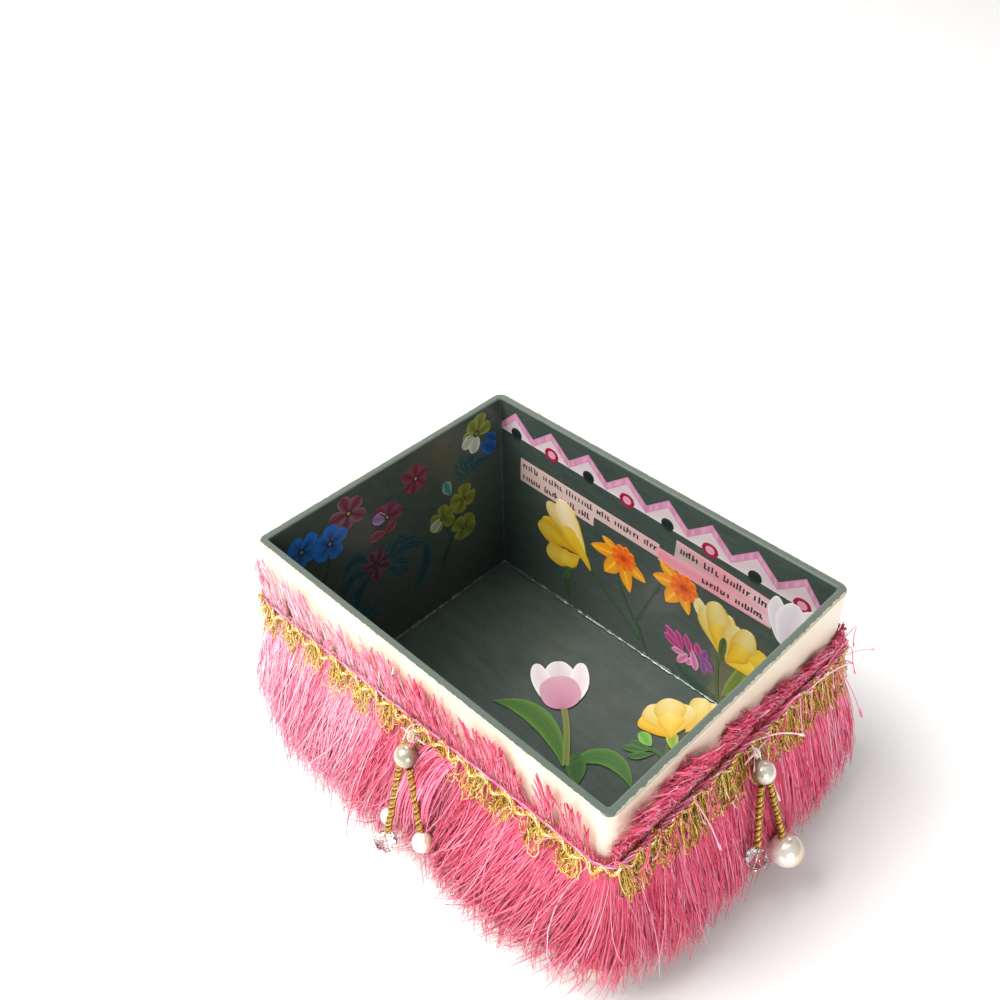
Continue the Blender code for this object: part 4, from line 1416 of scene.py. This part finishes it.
def fill_back_wall(board):
    """Border, strips and cut-out flowers. Places are X and Z in millimetres."""
    paper_border(board)
    sand, beige = ("#D8B9B4", "#CDB9AE", "#DDA6AE"), ("#D8B9B4", "#D9B6B2")
    rose, faded = ("#E08C9C", "#E58E9E", "#E6C6C8"), ("#A9A79C", "#E08C9C", "#E9CFCF")
    for line, widths, middle, edge in (
        (((-49.3, 49.1), (-20, 48.2), (4.6, 47.6)), (5.2, 5.0, 4.9), sand, "#D6B5B0"),
        (((-49.4, 44.9), (-34, 44.5), (-19.5, 44.2)), (4.0, 4.1, 4.4), beige, "#D6B5B0"),
        (((4.6, 46.6), (24, 46.4), (42.5, 46.4)), (4.6, 4.6, 4.6), rose, "#E5A2AC"),
        (((10.0, 51.9), (26, 51.4), (42.2, 51.0)), (6.8, 6.2, 5.0), faded, "#E5A6AE"),
    ):
        board.ribbon(line, widths, middle, edge)
    for seed, start, end, height in (
        (3, (-48.0, 49.2), (3.5, 47.8), 1.8),
        (5, (-48.0, 44.9), (-21.5, 44.3), 1.8),
        (8, (12.0, 52.2), (41.0, 51.0), 1.9),
        (9, (20.0, 46.5), (41.0, 46.3), 1.7),
    ):
        stroke_row(board, seed, start, end, height)
    for points, width in (
        (((-20.5, 24.2), (-8.0, 14.6), (2.8, 5.4)), 1.1),
        (((-9.0, 26.5), (-5.4, 19.5), (-1.7, 14.0)), 0.9),
        (((6.0, 35.5), (2.2, 24.6), (-1.5, 14.0)), 0.9),
        (((-1.7, 14.4), (0.8, 10.4), (2.8, 5.2)), 1.3),
        (((28.4, 22.0), (29.0, 13.0), (30.3, 4.4)), 1.2),
    ):
        board.stem(points, width, *DARK_GREEN)
    for root, tip, width in (
        ((-25.2, 20.9), (-31.0, 18.6), 2.6),
        ((-29.0, 18.8), (-35.2, 18.0), 2.8),
        ((-28.2, 18.6), (-30.0, 13.0), 2.2),
    ):
        board.lobe(root, tip, width, *GREEN, 1)
    board.leaf(((-29.2, 15.0), (-29.6, 10.0), (-27.6, 4.4)), 2.6, *DARK_GREEN, 1)
    deep = ("#D9A41A", "#EEC62E", "#F0DA66")
    left_bloom = (
        ((-39.8, 33.4), 6.4, YELLOW, 0.05),
        ((-42.0, 29.0), 7.6, YELLOW, -0.04),
        ((-38.2, 19.8), 7.4, deep, 0.06),
        ((-32.0, 21.2), 6.0, deep, 0.10),
    )
    spray(board, (-24.0, 26.6), left_bloom, 3)
    top_bloom = (
        ((-38.2, 40.6), 6.8, CREAM, -0.05),
        ((-28.2, 41.2), 6.2, CREAM, 0.08),
        ((-33.2, 44.6), 8.0, ("#E9C24A", "#EFDCA6", "#F0E2D2"), 0.0),
        ((-31.4, 35.0), 6.0, YELLOW, 0.0),
    )
    spray(board, (-20.3, 24.2), top_bloom, 9)
    board.lobe((-19.6, 23.4), (-28.6, 35.6), 3.4, ("#C8A820", "#EFCB2A"), "#E0B020", 16, 0.6, 1.1)
    first_tips = (
        ((-15.8, 40.6), 3.4),
        ((-20.0, 34.6), 4.8),
        ((-14.2, 27.0), 5.8),
        ((-4.2, 24.8), 4.8),
        ((1.2, 32.6), 4.8),
    )
    daffodil(board, (-8.4, 36.6), first_tips, 4.2, 2)
    second_tips = (((5.4, 44.4), 4.6), ((3.4, 37.6), 4.8), ((8.8, 30.4), 5.4), ((17.0, 30.6), 4.2))
    daffodil(board, (13.4, 39.6), second_tips, 4.4, 3)
    board.leaf(((14.4, 8.4), (21.0, 5.0), (29.4, 4.6)), 4.0, "#1E3824", "#2E5230")
    for points, width in (
        (((40.6, 27.0), (38.0, 17.0), (32.6, 8.0)), 5.2),
        (((36.6, 25.6), (35.4, 17.0), (31.4, 7.0)), 4.2),
        (((42.6, 19.0), (38.6, 11.6), (32.4, 5.4)), 4.0),
    ):
        board.leaf(points, width, *OLIVE, 1)
    board.lobe((27.4, 28.0), (18.0, 39.2), 4.6, CREAM, "#E3DCA8", 3)
    upper_bloom = (
        ((22.0, 38.0), 6.0, CREAM, 0.05),
        ((30.6, 39.6), 6.4, CREAM, 0.05),
        ((25.4, 41.8), 7.8, CREAM, 0.0),
        ((31.8, 34.6), 5.0, YELLOW, 0.0),
        ((26.4, 34.0), 5.4, YELLOW, 0.0),
    )
    spray(board, (28.8, 22.8), upper_bloom, 4)
    lower_bloom = (
        ((33.4, 37.4), 6.2, CREAM, 0.05),
        ((43.0, 33.0), 6.4, YELLOW, 0.0),
        ((40.0, 26.8), 5.6, deep, -0.05),
        ((37.6, 38.2), 7.0, CREAM, 0.0),
        ((36.4, 31.4), 6.4, YELLOW, 0.0),
    )
    spray(board, (31.2, 21.4), lower_bloom, 10)
    board.lobe((29.2, 20.6), (29.6, 30.6), 2.8, "#2C3E1E", "#56702C", 20)
    plum, orchid, mauve = ("#9A1E66", "#D060A0"), ("#C65A98", "#EEB4D4"), ("#6A2878", "#A05CAE")
    for root, tip, width, dyes in (
        ((17.5, 14.6), (9.6, 21.0), 2.8, plum),
        ((17.5, 14.6), (9.4, 17.6), 2.8, plum),
        ((17.0, 15.4), (13.4, 21.6), 2.6, plum),
        ((18.0, 14.6), (12.6, 13.2), 2.4, orchid),
        ((18.6, 14.8), (15.2, 9.2), 2.6, orchid),
        ((20.6, 14.4), (16.6, 22.4), 2.8, plum),
        ((20.6, 14.4), (18.2, 10.8), 2.4, orchid),
        ((19.6, 18.4), (21.9, 10.4), 3.0, orchid),
        ((23.6, 15.6), (20.6, 21.4), 2.8, plum),
        ((23.6, 15.6), (24.4, 21.0), 2.8, mauve),
        ((22.6, 18.4), (27.6, 13.8), 3.2, mauve),
        ((23.4, 17.4), (25.2, 11.4), 2.6, mauve),
    ):
        board.lobe(root, tip, width, *dyes, 3, 0.7)
    pale = ("#C9B8C6", "#DAD0DA", "#E6E0E6")
    for tip, width, sweep in (
        ((53.0, 57.6), 6.4, -0.04),
        ((42.6, 56.4), 5.6, 0.05),
        ((48.2, 57.2), 8.6, 0.0),
    ):
        board.lobe((47.0, 41.0), tip, width, pale, "#EFEAEE", 3, 0.45, 1.1, sweep)


def fill_floor(board):
    """A tulip and a freesia on the floor. Places are X and Y in millimetres."""
    board.leaf(((12.9, -5.4), (-3.6, 2.4), (-18.0, -2.4)), 7.2, "#3A6220", "#5E8A34")
    board.leaf(((13.4, -4.5), (19.8, 5.6), (31.6, 2.4)), 6.2, "#356224", "#568234", 1)
    board.leaf(((19.6, -6.6), (15.6, -3.0), (12.6, 1.5)), 6.0, "#274E1C", "#3E6E28", 1)
    board.stem(((-1.4, 10.4), (5.2, 4.6), (13.0, -4.6)), 1.9, "#66742C", "#8A8C4A", 2)
    shade, light = ("#B98CA2", "#D2C4C9", "#E2DBDC"), ("#C892B0", "#E2D0DA", "#ECE6E8")
    for tip, width, body, sweep in (
        ((-14.4, 22.2), 11.0, shade, 0.0),
        ((-8.8, 26.6), 6.4, light, -0.09),
        ((-18.6, 16.8), 6.4, light, 0.07),
    ):
        board.lobe((-1.3, 9.9), tip, width, body, "#F4EFF0", 3, 0.42, 1.0, sweep, 0.03)
    front_petal = ("#B4607F", "#CC8DA6", "#DAB0C0")
    board.lobe((-1.0, 9.6), (-10.4, 17.9), 12.6, front_petal, "#CF9CB2", 8, 0.40, 1.0, 0.0, 0.03)
    board.stem(((29.0, 22.6), (30.5, 19.0), (33.5, 16.4)), 1.0, *GREEN, 1)
    board.stem(((33.4, 16.2), (28.0, 16.6), (24.4, 14.6)), 0.9, *GREEN, 1)
    board.lobe((26.2, 17.2), (20.8, 19.0), 3.8, "#5E9A3A", "#8FC058", 3)
    for root, tip in (
        ((26.8, 15.6), (20.2, 11.2)),
        ((27.6, 16.2), (20.6, 14.6)),
        ((28.6, 16.0), (23.6, 9.8)),
    ):
        board.lobe(root, tip, 2.6, *GREEN, 2, 0.8)
    board.lobe((31.2, 20.6), (27.6, 25.2), 3.6, "#7A9A2E", "#B8C050", 2)
    main_bloom = (
        ((17.6, 24.0), 6.6, YELLOW, 0.04),
        ((25.6, 36.4), 8.0, CREAM, 0.06),
        ((16.6, 28.6), 7.4, CREAM, 0.0),
        ((19.2, 34.4), 8.4, CREAM, 0.0),
        ((22.6, 30.2), 7.2, ("#D99C1C", "#E9C450", "#EFD98A"), 0.0),
    )
    side_bloom = (
        ((25.8, 36.8), 5.6, YELLOW, -0.05),
        ((31.2, 42.2), 6.4, CREAM, 0.0),
        ((27.0, 41.6), 6.6, CREAM, 0.0),
    )
    spray(board, (30.4, 27.6), side_bloom, 3)
    spray(board, (28.8, 23.4), main_bloom, 7)


def make_pictures():
    """The cut-outs on the left wall, the back wall and the floor."""
    for name, fill, origin, right, up in (
        ("left_wall_posies", fill_left_wall, (-LENGTH / 2 + WALL, 0, 0), (0, 1, 0), (0, 0, 1)),
        ("back_wall_cutouts", fill_back_wall, (0, WIDTH / 2 - WALL, 0), (1, 0, 0), (0, 0, 1)),
        ("floor_cutouts", fill_floor, (0, 0, WALL), (1, 0, 0), (0, 1, 0)),
    ):
        board = Board(name, origin, right, up)
        fill(board)
        board.make()


def varnish_surface():
    """Clear varnish that has pooled over the grey paint."""
    clear = Surface("pooled_varnish", Coat_Weight=1.0, Coat_Roughness=0.03)
    lump = clear.noise(900.0, detail=4.0)
    clear.base(clear.mixed(lump, "#3E4843", "#5A645D"))
    clear.rough(clear.spread(lump, 0.3, 0.7, 0.08, 0.2))
    clear.bump(lump, 0.0002, 0.7)
    return clear.material


def make_varnish():
    """A thin uneven fillet of varnish where the walls meet the floor."""
    draw = np.random.default_rng(41)
    half_x, half_y = LENGTH / 2 - WALL, WIDTH / 2 - WALL
    corners = np.array([(-half_x, -half_y), (half_x, -half_y), (half_x, half_y), (-half_x, half_y)])
    share = np.linspace(0, 1, VARNISH_STEPS, endpoint=False)[:, None]
    ends = zip(corners, np.roll(corners, -1, axis=0))
    line = np.concatenate([here * (1 - share) + after * share for here, after in ends])
    size = VARNISH * (1 + 0.5 * draw.normal(0, 1, len(line)).clip(-1.2, 1.6))
    inward = -np.sign(line) * (np.abs(line) * SLACK > np.array([half_x, half_y]))
    rings = []
    for angle in np.linspace(0, math.pi / 2, 5):
        reach = size * (1 - math.sin(angle)) + VARNISH_SKIN
        rise = size * (1 - math.cos(angle)) + VARNISH_SKIN
        rings.append(np.column_stack([line + inward * column(reach), WALL + rise]))
    rings.append(np.column_stack([line + inward * VARNISH_SKIN, np.full(len(line), WALL + VARNISH_SKIN)]))
    grid = np.stack(rings, axis=1)
    vertices = grid.reshape(-1, 3)
    faces = closed_grid_faces(*grid.shape[:2], inward=True)
    made = tinted_mesh("varnish_fillet", vertices, faces, np.ones(vertices.shape))
    finish_piece(made, varnish_surface())


def make_box():
    """Paint on the box, which shows as it was packed."""
    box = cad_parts["box"]
    box.data.materials.clear()
    box.data.materials.append(paint_surface())


def add_to_scene(name, data):
    """A new object in the scene."""
    made = bpy.data.objects.new(name, data)
    bpy.context.scene.collection.objects.link(made)
    return made


def make_floor():
    """A pale floor that curves up behind, turned square to the camera."""
    half_width, curve_start, curve_radius, top = 2.4, 0.7, 0.5, 1.6
    steps = 12
    profile = [(-half_width, 0.0), (curve_start, 0.0)]
    for step in range(1, steps + 1):
        angle = math.pi / 2 * step / steps
        profile.append((curve_start + curve_radius * math.sin(angle), curve_radius * (1 - math.cos(angle))))
    profile.append((curve_start + curve_radius, top))
    mesh = bpy.data.meshes.new("floor")
    vertices = [(x, y, z) for y, z in profile for x in (-half_width, half_width)]
    faces = [(2 * i, 2 * i + 1, 2 * i + 3, 2 * i + 2) for i in range(len(profile) - 1)]
    mesh.from_pydata(vertices, [], faces)
    mesh.shade_smooth()
    floor = add_to_scene("floor", mesh)
    floor.rotation_euler = (0, 0, math.radians(45))
    sheet = Surface("pale_sheet", Roughness=0.7)
    sheet.base(sheet.mixed(sheet.noise(3.0), "#F4F3F3", "#FBFAF9"))
    floor.data.materials.append(sheet.material)


def make_lights():
    """Three soft square lamps that face the box, and a dim pale sky."""
    target = Vector((0, 0, 0.04))
    for name, spot, size, power, colour in (
        ("key", (-0.46, -0.54, 0.92), 0.85, 23.0, (1.0, 0.985, 0.955)),
        ("top", (0.0, -0.1, 1.2), 0.9, 3.0, (1.0, 1.0, 1.0)),
        ("right", (0.95, -0.55, 0.26), 0.6, 6.4, (0.98, 0.98, 1.0)),
    ):
        lamp = bpy.data.lights.new(name, "AREA")
        lamp.shape = "SQUARE"
        lamp.size = size
        lamp.energy = power
        lamp.color = colour
        holder = add_to_scene(name, lamp)
        holder.location = spot
        holder.rotation_euler = (target - Vector(spot)).to_track_quat("-Z", "Y").to_euler()
    world = bpy.data.worlds.new("studio")
    world.use_nodes = True
    sky = world.node_tree.nodes["Background"].inputs
    sky["Color"].default_value = (0.95, 0.97, 1.0, 1.0)
    sky["Strength"].default_value = 0.24
    bpy.context.scene.world = world
    bpy.context.scene.view_settings.view_transform = "Standard"


def make_camera():
    """The photo's view: from the front right, above the rim."""
    azimuth, elevation, roll = (math.radians(angle) for angle in CAMERA_ANGLES)
    level = math.cos(elevation)
    back = Vector((math.sin(azimuth) * level, -math.cos(azimuth) * level, math.sin(elevation)))
    right = (-back).cross(Vector((0, 0, 1))).normalized()
    up = back.cross(right)
    turned_right = right * math.cos(roll) + up * math.sin(roll)
    turned_up = up * math.cos(roll) - right * math.sin(roll)
    lens = bpy.data.cameras.new("camera")
    lens.sensor_width = SENSOR_WIDTH
    lens.lens = FOCAL_LENGTH
    lens.clip_start = 0.01
    camera = add_to_scene("camera", lens)
    turn = Matrix((turned_right, turned_up, back)).transposed().to_4x4()
    camera.matrix_world = Matrix.Translation(CAMERA_SPOT) @ turn
    bpy.context.scene.camera = camera


make_box()
make_varnish()
make_pictures()
make_fringe()
make_tufts()
make_seam_cord()
make_gold_braid()
make_drops()
make_floor()
make_lights()
make_camera()
